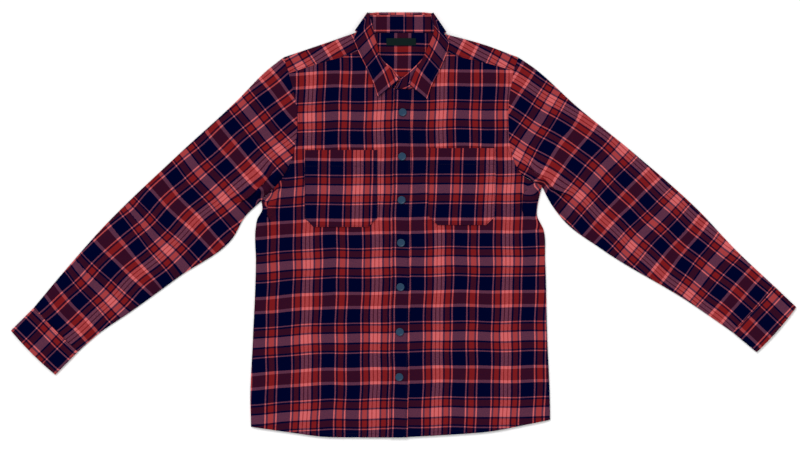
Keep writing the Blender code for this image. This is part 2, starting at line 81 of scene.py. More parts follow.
class Side(Enum):
    """The wearer's side. The right is at -X."""

    RIGHT = "right"
    LEFT = "left"

    @property
    def outward(self) -> float:
        """Sign of X away from the middle of the body."""
        return -1.0 if self is Side.RIGHT else 1.0


# Thickness of each wall.
CLOTH, LEAF, STAND, CUFF, LABEL = 1.2, 1.8, 2.0, 2.0, 0.8
# The gap at a seam, and between a layer and what lies on it.
SEAM, LAID = 0.4, 0.6
# Height of the middle of the lower layer, and of the upper layer where it starts to fold round.
LOWER = CLOTH / 2
EDGE = LOWER + CLOTH + LAID
# How low a trough may take the upper layer, as a share of its height at a fold.
LOWEST = 0.97
# How much higher the upper layer lies away from the folds, and how far in that takes.
LOFT, ROUND = 1.5, 14.0
# How far the collar under the neck lifts what lies over it, and where the lift starts and fades.
LIFT, LIFT_TOP, LIFT_RAMP, LIFT_SIDE, LIFT_FADE, NECK_X = 2.5, 333.0, 15.0, 105.0, 30.0, -5.0

# Lines of the cut, as places x, y. Most run outwards and down, the hem runs towards the middle
# and the neckline runs up from it.
SHOULDER = {
    Side.RIGHT: ((-86.0, 359.5), (-150.0, 337.5), (-224.0, 312.5)),
    Side.LEFT: ((78.0, 355.5), (146.0, 337.5), (214.0, 312.5)),
}
YOKE_SEAM = {
    Side.RIGHT: ((-77.5, 328.0), (-104.0, 317.0), (-154.5, 302.0), (-214.7, 282.4)),
    Side.LEFT: ((75.5, 325.0), (100.0, 315.0), (155.0, 301.5), (206.5, 287.0)),
}
ARMHOLE = {
    Side.RIGHT: ((-214.7, 282.4), (-203.0, 238.4), (-198.4, 181.4), (-208.3, 124.4),
                 (-228.5, 83.8), (-265.7, 44.9)),
    Side.LEFT: ((206.5, 287.0), (197.5, 236.6), (195.6, 191.0), (203.6, 126.0),
                (219.4, 94.6), (258.6, 72.4)),
}
SIDE_SEAM = {
    Side.RIGHT: ((-265.7, 44.9), (-264.0, 28.0), (-273.4, 9.4), (-276.6, -9.4), (-276.0, -66.0),
                 (-281.6, -216.0), (-286.3, -328.0), (-285.0, -378.0)),
    Side.LEFT: ((258.6, 72.4), (250.8, 39.6), (248.9, 18.5), (261.2, -9.0), (264.4, -66.0),
                (268.5, -216.0), (273.0, -320.0), (273.8, -365.0)),
}
HEM = {
    Side.RIGHT: ((-285.0, -378.0), (-210.6, -388.6), (-153.0, -396.3), (-80.0, -397.8),
                 (-2.4, -398.0)),
    Side.LEFT: ((273.8, -365.0), (228.0, -374.2), (167.0, -386.0), (90.0, -392.5),
                (-0.4, -397.5)),
}
NECKLINE = {
    Side.RIGHT: ((6.0, 252.5), (-18.0, 254.5), (-42.0, 266.0), (-60.0, 284.0), (-72.0, 305.0),
                 (-77.5, 328.0)),
    Side.LEFT: ((8.0, 252.5), (30.0, 257.5), (46.0, 267.0), (60.0, 282.0), (71.0, 303.0),
                (75.5, 325.0)),
}
# Where the yoke and the stand meet across the back of the neck.
BACK_NECK_Y = 358.0
SLEEVE_TOP = {
    Side.RIGHT: ((-224.0, 312.5), (-255.0, 288.0), (-309.7, 232.8), (-422.8, 128.7),
                 (-567.7, -12.0), (-632.0, -85.0), (-691.9, -156.3)),
    Side.LEFT: ((214.0, 312.5), (240.0, 295.0), (323.0, 221.0), (430.7, 133.0), (554.0, 23.4),
                (621.0, -47.7), (694.5, -117.0)),
}
SLEEVE_LOW = {
    Side.RIGHT: ((-265.7, 44.9), (-298.0, 13.0), (-318.5, -23.4), (-420.4, -98.0),
                 (-511.6, -164.0), (-570.0, -204.0), (-608.9, -237.9)),
    Side.LEFT: ((258.6, 72.4), (275.6, 39.6), (299.4, 8.0), (373.0, -47.7), (535.6, -146.4),
                (573.0, -172.0), (616.5, -202.5)),
}
# How far a sleeve is kept off the side at the underarm, and how soon along it, as a share of its
# length, its sections lose the armhole's curve.
UNDERARM_CLEAR, ARMHOLE_FADE = 2.0, 0.028
# Corners of the cuffs, and how far their ends bow out.
CUFF_CORNERS = {
    Side.RIGHT: {"seam top": (-691.9, -156.3), "seam low": (-608.9, -237.9),
                 "end top": (-733.8, -198.2), "end low": (-650.8, -280.7)},
    Side.LEFT: {"seam top": (694.5, -117.0), "seam low": (616.5, -202.5),
                "end top": (733.8, -154.3), "end low": (660.0, -238.6)},
}
CUFF_BOW = 2.5
BAND = {"neck y": 251.6, "hem y": -397.6, "neck": (-18.0, 15.7), "hem": (-26.4, 7.5)}
POCKETS = {
    Side.RIGHT: {"x": (-185.0, -49.0), "top": 139.0, "bottom": -4.5, "corner": 17.0},
    Side.LEFT: {"x": (46.5, 171.5), "top": 142.5, "bottom": -1.0, "corner": 17.0},
}
# From a pocket's top down to the stitches of its hem.
POCKET_HEM = 30.0
LABEL_BOX = {"x": (-32.0, 23.0), "y": (334.5, 348.0)}
# Sections of the stand and the leaf, from the centre front round to the fold at the side of the
# neck, each an outer and an inner place.
STAND_FRONT = {
    Side.RIGHT: (((-17.6, 255.6), (-7.0, 274.5)), ((-41.2, 267.0), (-20.5, 290.5)),
                 ((-59.2, 284.8), (-38.5, 307.5)), ((-71.0, 305.5), (-50.0, 327.0)),
                 ((-76.4, 328.2), (-57.0, 351.0)), ((-80.0, 345.0), (-62.0, 372.0))),
    Side.LEFT: (((-16.0, 255.0), (-4.0, 273.0)), ((8.0, 253.8), (4.0, 279.5)),
                ((29.6, 258.8), (16.0, 290.0)), ((45.2, 268.2), (34.5, 309.5)),
                ((59.0, 283.0), (47.5, 325.0)), ((69.9, 303.8), (54.0, 345.0)),
                ((74.3, 326.0), (57.0, 366.0))),
}
STAND_FOLD = {Side.RIGHT: ((-82.5, 359.2), (-62.0, 391.0)),
              Side.LEFT: ((74.5, 358.8), (50.0, 391.0))}
STAND_TOP_Y = 391.0
LEAF_FRONT = {
    Side.RIGHT: (((-47.7, 238.0), (-9.5, 270.0)), ((-57.0, 266.0), (-21.5, 287.5)),
                 ((-70.0, 294.0), (-41.0, 308.0)), ((-83.0, 320.0), (-47.7, 328.0)),
                 ((-88.5, 333.0), (-51.5, 343.0)), ((-93.0, 346.0), (-56.0, 361.0))),
    Side.LEFT: (((43.4, 233.6), (9.0, 262.5)), ((54.6, 265.0), (17.5, 281.0)),
                ((66.0, 286.0), (33.0, 305.5)), ((76.0, 309.0), (44.5, 329.5)),
                ((81.5, 323.0), (52.0, 346.0)), ((84.5, 338.0), (56.0, 360.0))),
}
LEAF_FOLD = {Side.RIGHT: ((-87.0, 359.5), (-63.5, 393.5)),
             Side.LEFT: ((76.0, 357.0), (51.5, 393.0))}
LEAF_BACK = {"outer y": 352.0, "roll y": 394.6, "seam y": 391.7}
# From the middle of the fronts' cloth up to the middle of the leaf.
LEAF_OVER = 2.95


@dataclass(frozen=True)
class Crease:
    """A soft ridge, or a trough where the height is negative, along a bowed line."""

    start: Plan
    end: Plan
    bow: float
    height: float
    width: float
    steps: ClassVar[int] = 10
    fade: ClassVar[float] = 0.25

    def rise(self, plan: Array) -> Array:
        """Height that the crease adds at each place.

        Args:
            plan: places as x, y.

        Returns:
            Heights, one for each place.
        """
        start, end = np.array(self.start), np.array(self.end)
        run = end - start
        left = np.array((-run[1], run[0])) / np.linalg.norm(run)
        along = even(self.steps)[:, None]
        line = start + along * run + 4 * along * (1 - along) * self.bow * left
        share = np.clip(((plan - start) * run).sum(-1) / (run * run).sum(), 0.0, 1.0)
        ends = smooth(0.0, self.fade, share) * (1 - smooth(1 - self.fade, 1.0, share))
        return self.height * ends * (1 - smooth(0.0, self.width, distance(plan, line)))


@dataclass(frozen=True)
class Tuck:
    """A fold where the cloth on the left of a line lies over the cloth on its right.

    The cloth on the left moves over by reach and stands up by height, and both die away at back
    from the line. A shallow trough runs along its right.
    """

    line: tuple[Plan, ...]
    reach: float
    height: float
    back: float
    turn: float = 2.2
    steps: ClassVar[int] = 16
    fade_in: ClassVar[float] = 0.3
    fade_out: ClassVar[float] = 0.72
    curl: ClassVar[float] = 1.5
    foot: ClassVar[float] = -0.4
    tail: ClassVar[float] = 1.25
    trough: ClassVar[float] = 0.3
    trough_width: ClassVar[float] = 3.0

    def shift(self, plan: Array) -> tuple[Array, Array]:
        """How the fold moves the cloth.

        Args:
            plan: places as x, y.

        Returns:
            The sideways move and the rise at each place.
        """
        line = trace(self.line, even(self.steps))
        side, stretch, part = beside(plan, line)
        share = (stretch + part) / (len(line) - 1)
        left = np.array([np.array((-run[1], run[0])) / np.linalg.norm(run)
                         for run in np.diff(line, axis=0)])
        ends = smooth(0.0, self.fade_in, share) * (1 - smooth(self.fade_out, 1.0, share))
        over = (side > 0) & (side < self.back)
        rolled = np.clip((side - self.turn) / (self.back - self.turn), 0.0, 1.0)
        move = np.where(over, np.maximum(side - self.turn, 0.0) - side
                        - self.reach * (1 - rolled) ** self.curl + self.turn * rolled, 0.0) * ends
        edge = smooth(self.foot * self.turn, self.turn, side)
        rise = edge * (1 - smooth(self.turn, self.back * self.tail, side))
        hollow = self.trough * np.exp(-((side + self.trough_width) / self.trough_width) ** 2)
        return move[..., None] * left[stretch], self.height * ends * (rise - hollow)


# The folds over the hollow of each underarm, listed so that the raised cloth is on the left.
TUCKS = (
    Tuck(((-318.0, 34.0), (-300.0, 51.0), (-278.0, 71.0), (-259.0, 90.0), (-235.0, 108.0)),
         reach=8.0, height=8.0, back=28.0),
    Tuck(((-246.0, 52.0), (-247.5, 38.0), (-249.5, 24.0), (-252.0, 6.0)),
         reach=5.0, height=5.5, back=14.0),
    Tuck(((224.0, 116.0), (242.0, 106.0), (258.0, 98.0), (274.0, 84.0), (292.0, 66.0),
          (308.0, 46.0)), reach=8.0, height=8.0, back=28.0),
    Tuck(((232.0, 70.0), (229.0, 54.0), (228.0, 36.0), (227.0, 12.0)),
         reach=6.0, height=6.0, back=16.0),
)


@dataclass(frozen=True)
class Swirl:
    """A place where bunched cloth turns the check about a point."""

    middle: Plan
    radius: float
    degrees: float


# Each has its middle, its radius and how far it turns the check, clockwise where above 0.
SWIRLS = (Swirl((-262.0, 55.0), 30.0, 55.0), Swirl((-238.0, 78.0), 20.0, -28.0),
          Swirl((246.0, 64.0), 28.0, -50.0), Swirl((274.0, 76.0), 20.0, 30.0),
          Swirl((-262.0, 16.0), 18.0, 14.0), Swirl((252.0, 8.0), 20.0, -16.0))


def swirled(plan: Array) -> Array:
    """Args:
        plan: places as x, y.

    Returns:
        The turned places.
    """
    for swirl in SWIRLS:
        away = plan - np.array(swirl.middle)
        share = 1 - smooth(0.0, swirl.radius, np.linalg.norm(away, axis=-1))
        turn = math.radians(swirl.degrees) * share
        cos, sin = np.cos(turn) - 1.0, np.sin(turn)
        plan = plan + np.stack((cos * away[..., 0] - sin * away[..., 1],
                                sin * away[..., 0] + cos * away[..., 1]), -1)
    return plan


# Creases follow, each from a start to an end, with its bow, height and width.
# The folds at the underarms, which the solids have too.
FOLDS = (
    Crease((-200.0, 132.0), (-312.0, 40.0), 6.0, 7.0, 18.0),
    Crease((-240.0, 84.0), (-262.0, 52.0), 2.0, 4.0, 13.0),
    Crease((-252.0, 40.0), (-266.0, -30.0), 0.0, 3.0, 12.0),
    Crease((200.0, 128.0), (300.0, 66.0), -8.0, 7.0, 18.0),
    Crease((272.0, 70.0), (322.0, -2.0), 0.0, 4.0, 14.0),
    Crease((243.0, 76.0), (243.0, 2.0), 4.0, 4.0, 13.0),
)
# The smaller creases of the front layer.
CREASES = (
    Crease((-279.0, 48.0), (-243.0, 50.0), 16.0, 5.0, 8.0),
    Crease((-266.0, 30.0), (-268.0, -22.0), -4.0, 2.4, 6.0),
    Crease((-240.0, 92.0), (-236.0, 58.0), 5.0, 3.0, 7.0),
    Crease((248.0, 76.0), (276.0, 72.0), 8.0, 4.5, 7.0),
    Crease((240.0, 70.0), (238.0, 40.0), -5.0, 3.0, 7.0),
    Crease((247.0, 24.0), (262.0, -18.0), -4.0, 2.6, 7.0),
    Crease((288.0, 54.0), (318.0, -8.0), -3.0, 3.2, 9.0),
    Crease((-215.0, 100.0), (-262.0, 40.0), -4.0, -2.2, 10.0),
    Crease((-222.0, 66.0), (-250.0, 8.0), 5.0, -1.6, 9.0),
    Crease((-270.0, 92.0), (-330.0, 30.0), 4.0, -1.8, 11.0),
    Crease((-300.0, 120.0), (-392.0, 30.0), 7.0, 1.2, 20.0),
    Crease((-380.0, 110.0), (-470.0, 70.0), -6.0, 0.9, 22.0),
    Crease((-452.0, -20.0), (-560.0, -96.0), 5.0, 1.0, 18.0),
    Crease((-540.0, -40.0), (-640.0, -150.0), -5.0, -0.9, 16.0),
    Crease((-596.0, -170.0), (-640.0, -186.0), 2.0, 1.3, 9.0),
    Crease((-232.0, 260.0), (-290.0, 150.0), 8.0, 0.8, 22.0),
    Crease((212.0, 104.0), (256.0, 66.0), 4.0, -2.2, 10.0),
    Crease((256.0, 60.0), (300.0, 34.0), -4.0, -2.0, 9.0),
    Crease((232.0, 50.0), (228.0, -8.0), 3.0, -2.0, 9.0),
    Crease((300.0, 90.0), (386.0, 8.0), -6.0, 1.3, 18.0),
    Crease((330.0, 160.0), (450.0, 60.0), 8.0, 0.8, 24.0),
    Crease((420.0, -10.0), (540.0, -110.0), -5.0, 1.0, 18.0),
    Crease((500.0, 40.0), (640.0, -110.0), 6.0, -0.8, 20.0),
    Crease((596.0, -140.0), (648.0, -158.0), -2.0, 1.2, 9.0),
    Crease((230.0, 262.0), (286.0, 170.0), -7.0, 0.8, 22.0),
    Crease((-240.0, -60.0), (-225.0, -230.0), 6.0, 0.6, 26.0),
    Crease((-130.0, -120.0), (-110.0, -330.0), -8.0, 0.5, 30.0),
    Crease((228.0, -80.0), (212.0, -260.0), -7.0, 0.6, 26.0),
    Crease((120.0, -150.0), (104.0, -340.0), 6.0, 0.5, 28.0),
    Crease((-170.0, 270.0), (-150.0, 190.0), 4.0, 0.5, 22.0),
    Crease((150.0, 268.0), (138.0, 186.0), -4.0, 0.5, 22.0),
)
# The creases of the back layer, which rise from the surface below.
BACK_CREASES = (
    Crease((-210.0, 150.0), (-90.0, -60.0), 14.0, 0.9, 22.0),
    Crease((190.0, 140.0), (80.0, -80.0), -12.0, 0.8, 24.0),
    Crease((-180.0, -120.0), (-200.0, -340.0), 8.0, 0.7, 20.0),
    Crease((30.0, 60.0), (16.0, -300.0), 7.0, 0.6, 28.0),
    Crease((200.0, -140.0), (214.0, -330.0), -6.0, 0.7, 20.0),
)


def smooth(low: float, high: float, value: Array) -> Array:
    """A rise from 0 at low to 1 at high, level at both ends."""
    part = np.clip((value - low) / (high - low), 0.0, 1.0)
    return part * part * (3.0 - 2.0 * part)


def even(count: int) -> Array:
    """Fractions from 0 to 1 in count equal steps."""
    return np.linspace(0.0, 1.0, count + 1)


def trace(points: Sequence, fractions: Array) -> Array:
    """Places on a smooth curve through the points.

    Args:
        points: the places that the curve passes through.
        fractions: shares of its length, from 0 to 1.

    Returns:
        One place for each fraction.
    """
    points = np.array(points, dtype=float)
    steps = np.linalg.norm(np.diff(points, axis=0), axis=1)
    knots = np.concatenate(([0.0], np.cumsum(steps))) / steps.sum()
    slopes = np.gradient(points, knots, axis=0)
    fractions = np.asarray(fractions, dtype=float)
    span = np.clip(np.searchsorted(knots, fractions, side="right") - 1, 0, len(knots) - 2)
    width = knots[span + 1] - knots[span]
    u = ((fractions - knots[span]) / width)[:, None]
    width = width[:, None]
    return ((2 * u**3 - 3 * u**2 + 1) * points[span] + (u**3 - 2 * u**2 + u) * width * slopes[span]
            + (3 * u**2 - 2 * u**3) * points[span + 1]
            + (u**3 - u**2) * width * slopes[span + 1])


def between(start: Array, end: Array, fractions: Array) -> Array:
    """Places on the straight line from start to end."""
    return start + np.asarray(fractions)[:, None] * (end - start)


def patch(first: Array, last: Array, start: Array, end: Array) -> Array:
    """A grid of places between four edges.

    Args:
        first: the first row.
        last: the last row.
        start: the first column.
        end: the last column.

    Returns:
        Places as rows, columns, x and y.
    """
    across = even(len(first) - 1)[None, :, None]
    along = even(len(start) - 1)[:, None, None]
    rows = (1 - along) * first[None] + along * last[None]
    sides = (1 - across) * start[:, None] + across * end[:, None]
    corners = ((1 - across) * (1 - along) * first[0] + across * (1 - along) * first[-1]
               + (1 - across) * along * last[0] + across * along * last[-1])
    return rows + sides - corners


def distance(plan: Array, line: Array) -> Array:
    """Distance from each place to a line of points.

    Args:
        plan: places as x, y.
        line: the points of the line.

    Returns:
        The distances.
    """
    nearest = np.full(plan.shape[:-1], np.inf)
    for start, end in zip(line, line[1:]):
        run, away = end - start, plan - start
        share = np.clip((away * run).sum(-1) / (run * run).sum(), 0.0, 1.0)
        nearest = np.minimum(nearest, np.linalg.norm(away - share[..., None] * run, axis=-1))
    return nearest


def beside(plan: Array, line: Array) -> tuple[Array, Array, Array]:
    """Where each place lies beside a line of points.

    Args:
        plan: places as x, y.
        line: the points of the line.

    Returns:
        For each place, its distance from the line, above 0 on the left of it, the number of the
        nearest stretch of the line, and how far along that stretch it is, from 0 to 1.
    """
    nearest = np.full(plan.shape[:-1], np.inf)
    side, share = np.zeros_like(nearest), np.zeros_like(nearest)
    stretch = np.zeros(plan.shape[:-1], dtype=int)
    for index, (start, end) in enumerate(zip(line, line[1:])):
        run, away = end - start, plan - start
        part = np.clip((away * run).sum(-1) / (run * run).sum(), 0.0, 1.0)
        gap = np.linalg.norm(away - part[..., None] * run, axis=-1)
        closer = gap < nearest
        turn = run[0] * away[..., 1] - run[1] * away[..., 0]
        nearest = np.where(closer, gap, nearest)
        side = np.where(closer, np.sign(turn) * gap, side)
        share = np.where(closer, part, share)
        stretch = np.where(closer, index, stretch)
    return side, stretch, share


# Where the shoulder's fold starts, as a share of the shoulder, and steps along each fold.
SHOULDER_FROM, SHOULDER_POINTS, ARM_STEPS, SIDE_STEPS = 0.2, 6, 24, 30


def folded_edges() -> list[Array]:
    """The lines where the shirt is folded.

    Returns:
        For each side, the shoulder with the top of the sleeve, its lower fold, and the side seam.
    """
    lines = []
    for side in Side:
        shoulder = trace(SHOULDER[side], np.linspace(SHOULDER_FROM, 1.0, SHOULDER_POINTS))
        top = trace(SLEEVE_TOP[side], even(ARM_STEPS))
        lines.append(np.concatenate((shoulder, top[1:])))
        lines.append(trace(SLEEVE_LOW[side], even(ARM_STEPS)))
        lines.append(trace(SIDE_SEAM[side], even(SIDE_STEPS)))
    return lines


FOLDED_EDGES = folded_edges()


def neck_lift(plan: Array) -> Array:
    """How far the collar under the neck raises what lies over it.

    Args:
        plan: places as x, y.

    Returns:
        The rise at each place.
    """
    up = smooth(LIFT_TOP - LIFT_RAMP, LIFT_TOP, plan[..., 1])
    out = 1.0 - smooth(LIFT_SIDE, LIFT_SIDE + LIFT_FADE, np.abs(plan[..., 0] - NECK_X))
    return LIFT * up * out


def lower(plan: Array) -> Array:
    """Height of the middle of the lower layer, with its creases."""
    return LOWER + neck_lift(plan) + sum(crease.rise(plan) for crease in BACK_CREASES)


def upper(plan: Array) -> Array:
    """Height of the middle of the upper layer, with its folds and creases.

    Args:
        plan: places as x, y.

    Returns:
        The height at each place.
    """
    inside = np.min([distance(plan, line) for line in FOLDED_EDGES], axis=0)
    rise = smooth(0.0, ROUND, inside)
    folds = sum(fold.rise(plan) for fold in FOLDS + CREASES)
    return np.maximum(EDGE + LOFT * rise + folds * rise, EDGE * LOWEST) + neck_lift(plan)


def draped(plan: Array) -> Array:
    """Places of the upper layer, with the tucks, which never reach down to the lower layer.

    Args:
        plan: places as x, y, before the tucks move them.

    Returns:
        Places as x, y, z.
    """
    height, moved = upper(plan), plan
    for tuck in TUCKS:
        move, rise = tuck.shift(plan)
        moved, height = moved + move, height + rise
    return place(moved, np.maximum(height, np.minimum(upper(plan), LOWER + LIFT)))


def place(plan: Array, height: Union[float, Array]) -> Array:
    """Plan places with their heights, as x, y, z."""
    height = np.broadcast_to(height, plan.shape[:-1])
    return np.concatenate((plan, height[..., None]), axis=-1)


def bend(line: Array, outward: Array, top: Array, bottom: Array, steps: int) -> list[Array]:
    """Columns of places half way round a folded edge, without its two ends.

    Args:
        line: the edge where the fold starts, as x, y.
        outward: the direction that the fold bulges in.
        top: height of the upper layer at each place.
        bottom: height of the lower layer at each place.
        steps: steps in the half turn.

    Returns:
        The columns, from the top down.
    """
    middle, radius = (top + bottom) / 2, (top - bottom) / 2
    columns = []
    for angle in np.linspace(np.pi / 2, -np.pi / 2, steps + 1)[1:-1]:
        plan = line + np.cos(angle) * radius[:, None] * outward
        columns.append(place(plan, middle + np.sin(angle) * radius))
    return columns


# Yarns of the check and their widths, from the middle of a repeat to its end.
WARP = (("salmon", 2.8), ("red", 1.9), ("salmon", 5.0), ("navy", 3.3), ("red", 8.5),
        ("navy", 3.5), ("salmon", 2.5), ("navy", 25.0), ("salmon", 2.5), ("navy", 3.7),
        ("red", 5.15))
WEFT = (("salmon", 7.9), ("navy", 3.3), ("red", 11.4), ("navy", 3.4), ("salmon", 2.1),
        ("navy", 25.7), ("salmon", 5.4), ("red", 10.4))
HALF_WARP = sum(width for _, width in WARP)
HALF_WEFT = sum(width for _, width in WEFT)
# Distance from the middle of the striped band to the middle of the wide navy stripe.
TO_NAVY = 40.0


@dataclass(frozen=True)
class Drift:
    """The slow wander of the yarns one way: a long wave, and a short one at a slant."""

    long: float
    start: float
    short: float
    slant: float
    short_share: float = 0.6

    def at(self, along: Array, across: Array) -> Array:
        """How far the yarns have strayed, from their places in the weave."""
        short = np.sin(along / self.short + across / self.slant)
        return np.sin(along / self.long + self.start) + self.short_share * short


WARP_DRIFT = Drift(31.0, 1.3, 13.7, 40.0)
WEFT_DRIFT = Drift(27.0, 0.4, 15.1, -45.0)


@dataclass(frozen=True)
class Grain:
    """How the check lies on a piece of cloth.

    crossings are places along the middle of one striped band. The first is where it meets the
    middle of a wide pale weft bar, and the rest follow it a step of the weave apart. Where there
    is only one, angle gives the direction of the warp in degrees. The weft bars slope by skew,
    and past droop_from on the right of the band they sag by droop as well. Across the warp the
    check is wider by the factor spread. The yarns wander by up to 1.6 times wander, in millimetres.
    """

    crossings: tuple[Plan, ...]
    angle: float = 0.0
    step: float = 2 * HALF_WEFT
    skew: float = 0.0
    spread: float = 1.0
    wander: float = 0.7
    droop: float = 0.0
    droop_from: float = 0.0
    run_on: ClassVar[int] = 4
    fineness: ClassVar[int] = 6

    def _band(self) -> tuple[Array, Array]:
        """The middle of the band, run on past both ends.

        Returns:
            Places along it, and the distance in the weave at each.
        """
        places = np.array(self.crossings, dtype=float)
        if len(places) == 1:
            turn = math.radians(self.angle)
            ahead = np.array((math.cos(turn), math.sin(turn)))
            places = places + np.arange(2)[:, None] * self.step * ahead
        runs = np.arange(1, self.run_on + 1)[:, None]
        places = np.concatenate((places[0] + runs[::-1] * (places[0] - places[1]), places,
                                 places[-1] + runs * (places[-1] - places[-2])))
        steps = np.linalg.norm(np.diff(places, axis=0), axis=1)
        knots = np.concatenate(([0.0], np.cumsum(steps))) / steps.sum()
        shares = even(self.fineness * len(steps))
        woven = (np.arange(len(places)) - len(runs)) * self.step
        return trace(places, shares), np.interp(shares, knots, woven)

    def lay(self, plan: Array) -> Array:
        """Place in the weave, in millimetres.

        Args:
            plan: places on the piece, as x, y.

        Returns:
            For each place, the distance across the warp and the distance along it.
        """
        line, woven = self._band()
        u, stretch, share = beside(swirled(plan), line)
        v = woven[stretch] + share * np.diff(woven)[stretch]
        v = v + self.skew * u + self.droop * np.minimum(u + self.droop_from, 0.0)
        return np.stack((u / self.spread + self.wander * WARP_DRIFT.at(v, u),
                         v + self.wander * WEFT_DRIFT.at(u, v)), axis=-1)


GRAINS = {
    "front_right": Grain(((-45.4, 203.0), (-47.7, 65.1), (-50.0, -71.6), (-52.4, -211.9),
                          (-54.8, -354.4)), spread=1.011, skew=0.014, droop=0.070,
                         droop_from=80.0),
    "front_left": Grain(((71.0, 204.7), (68.7, 67.2), (66.4, -68.6), (64.0, -208.8),
                         (61.6, -350.9)), skew=0.019),
    "front_band": Grain(((-38.6, 204.2), (-40.4, 66.3), (-42.2, -70.4), (-43.9, -210.7),
                         (-45.7, -353.2))),
    "pocket_right": Grain(((-85.7, 64.8),), angle=88.6, skew=0.024, wander=0.3),
    "pocket_left": Grain(((162.0, 67.0),), angle=87.6, skew=0.049, wander=0.3),
    "back": Grain(((-5.0, 66.0),), angle=90.0),
    "yoke_back": Grain(((68.1, 263.2),), angle=0.0),
    "flap_right": Grain(((-191.7, 294.2),), angle=30.0),
    "flap_left": Grain(((183.4, 297.2),), angle=-28.0),
    "sleeve_right": Grain(((-231.7, 139.8), (-284.6, 96.6), (-338.0, 49.8), (-391.4, 3.1),
                           (-441.6, -47.2), (-494.8, -90.4), (-546.4, -143.9), (-599.8, -191.4)),
                          step=HALF_WEFT, wander=1.1),
    "sleeve_left": Grain(((215.0, 131.3), (274.6, 95.2), (329.1, 52.0), (378.0, 6.3),
                          (425.5, -41.0), (479.5, -89.1), (534.2, -130.5), (586.9, -174.0)),
                         step=HALF_WEFT, spread=0.93, wander=1.1),
    "cuff_right": Grain(((-647.6, -193.4),), angle=-44.5, wander=0.5),
    "cuff_left": Grain(((736.7, -179.9),), angle=47.6, wander=0.5),
}


class Value:
    """One socket of a shader, with arithmetic that adds Math nodes."""

    def __init__(self, nodes: "Nodes", socket: bpy.types.NodeSocket) -> None:
        """Keep the socket and the tree that it belongs to."""
        self.nodes, self.socket = nodes, socket

    def _math(self, operation: str, *values: Number) -> "Value":
        """A Math node on this and other values."""
        return self.nodes.add("ShaderNodeMath", {"operation": operation}, dict(enumerate(values)))

    def __add__(self, other: Number) -> "Value":
        """Sum."""
        return self._math("ADD", self, other)

    __radd__ = __add__

    def __sub__(self, other: Number) -> "Value":
        """Difference."""
        return self._math("SUBTRACT", self, other)

    def __rsub__(self, other: Number) -> "Value":
        """Difference, the other way."""
        return self._math("SUBTRACT", other, self)

    def __mul__(self, other: Number) -> "Value":
        """Product."""
        return self._math("MULTIPLY", self, other)

    __rmul__ = __mul__

    def __truediv__(self, other: Number) -> "Value":
        """Quotient."""
        return self._math("DIVIDE", self, other)

    def other(self, output: int) -> "Value":
        """Another output of the same node."""
        return Value(self.nodes, self.socket.node.outputs[output])

    def pingpong(self, scale: float) -> "Value":
        """The value folded back and forth between 0 and scale."""
        return self._math("PINGPONG", self, scale)

    def sine(self) -> "Value":
        """Sine."""
        return self._math("SINE", self)

    def clamp(self) -> "Value":
        """The value held between 0 and 1."""
        return self._math("MINIMUM", self._math("MAXIMUM", self, 0.0), 1.0)


class Nodes:
    """A material's node tree, filled through one method."""

    def __init__(self, name: str) -> None:
        """Start an empty material of this name."""
        self.material = bpy.data.materials.new(name)
        self.material.use_nodes = True
        self.tree = self.material.node_tree
        self.tree.nodes.clear()

    def add(self, kind: str, settings: Optional[dict] = None, inputs: Optional[dict] = None,
            output: Union[int, str] = 0) -> Optional[Value]:
        """Add one node.

        Args:
            kind: the node's type.
            settings: properties to set first; "stops" is a ramp's list of place and colour.
            inputs: values or links for sockets, by name or number.
            output: the socket to give back.

        Returns:
            The wrapped output socket, or None where the node has no outputs.
        """
        node = self.tree.nodes.new(kind)
        for name, value in (settings or {}).items():
            if name == "stops":
                self._fill_ramp(node.color_ramp, value)
            elif name == "interpolation":
                node.color_ramp.interpolation = value
            else:
                setattr(node, name, value)
        for name, value in (inputs or {}).items():
            if isinstance(value, Value):
                self.tree.links.new(value.socket, node.inputs[name])
            else:
                node.inputs[name].default_value = value
        return Value(self, node.outputs[output]) if len(node.outputs) else None

    @staticmethod
    def _fill_ramp(ramp: bpy.types.ColorRamp, stops: Sequence) -> None:
        """Set a ramp's stops."""
        while len(ramp.elements) > 1:
            ramp.elements.remove(ramp.elements[-1])
        ramp.elements[0].position, ramp.elements[0].color = stops[0]
        for position, colour in stops[1:]:
            ramp.elements.new(position).color = colour

    def mix(self, factor: Number, first: Union[Value, Colour],
            second: Union[Value, Colour]) -> Value:
        """Mix two colours by a factor."""
        return self.add("ShaderNodeMix", {"data_type": "RGBA"}, {0: factor, 6: first, 7: second},
                        output=2)

    def noise(self, vector: Value, scale: float, detail: float, roughness: float = 0.5) -> Value:
        """Noise over a vector."""
        return self.add("ShaderNodeTexNoise", None, {"Vector": vector, "Scale": scale,
                                                     "Detail": detail, "Roughness": roughness},
                        output="Fac")

    def bump(self, height: Value, strength: float, distance: float) -> Value:
        """A normal for a height, with the distance in metres."""
        return self.add("ShaderNodeBump", None,
                        {"Height": height, "Strength": strength, "Distance": distance})

    def finish(self, surface: Value) -> bpy.types.Material:
        """Connect the shader to the output."""
        self.add("ShaderNodeOutputMaterial", None, {"Surface": surface})
        return self.material


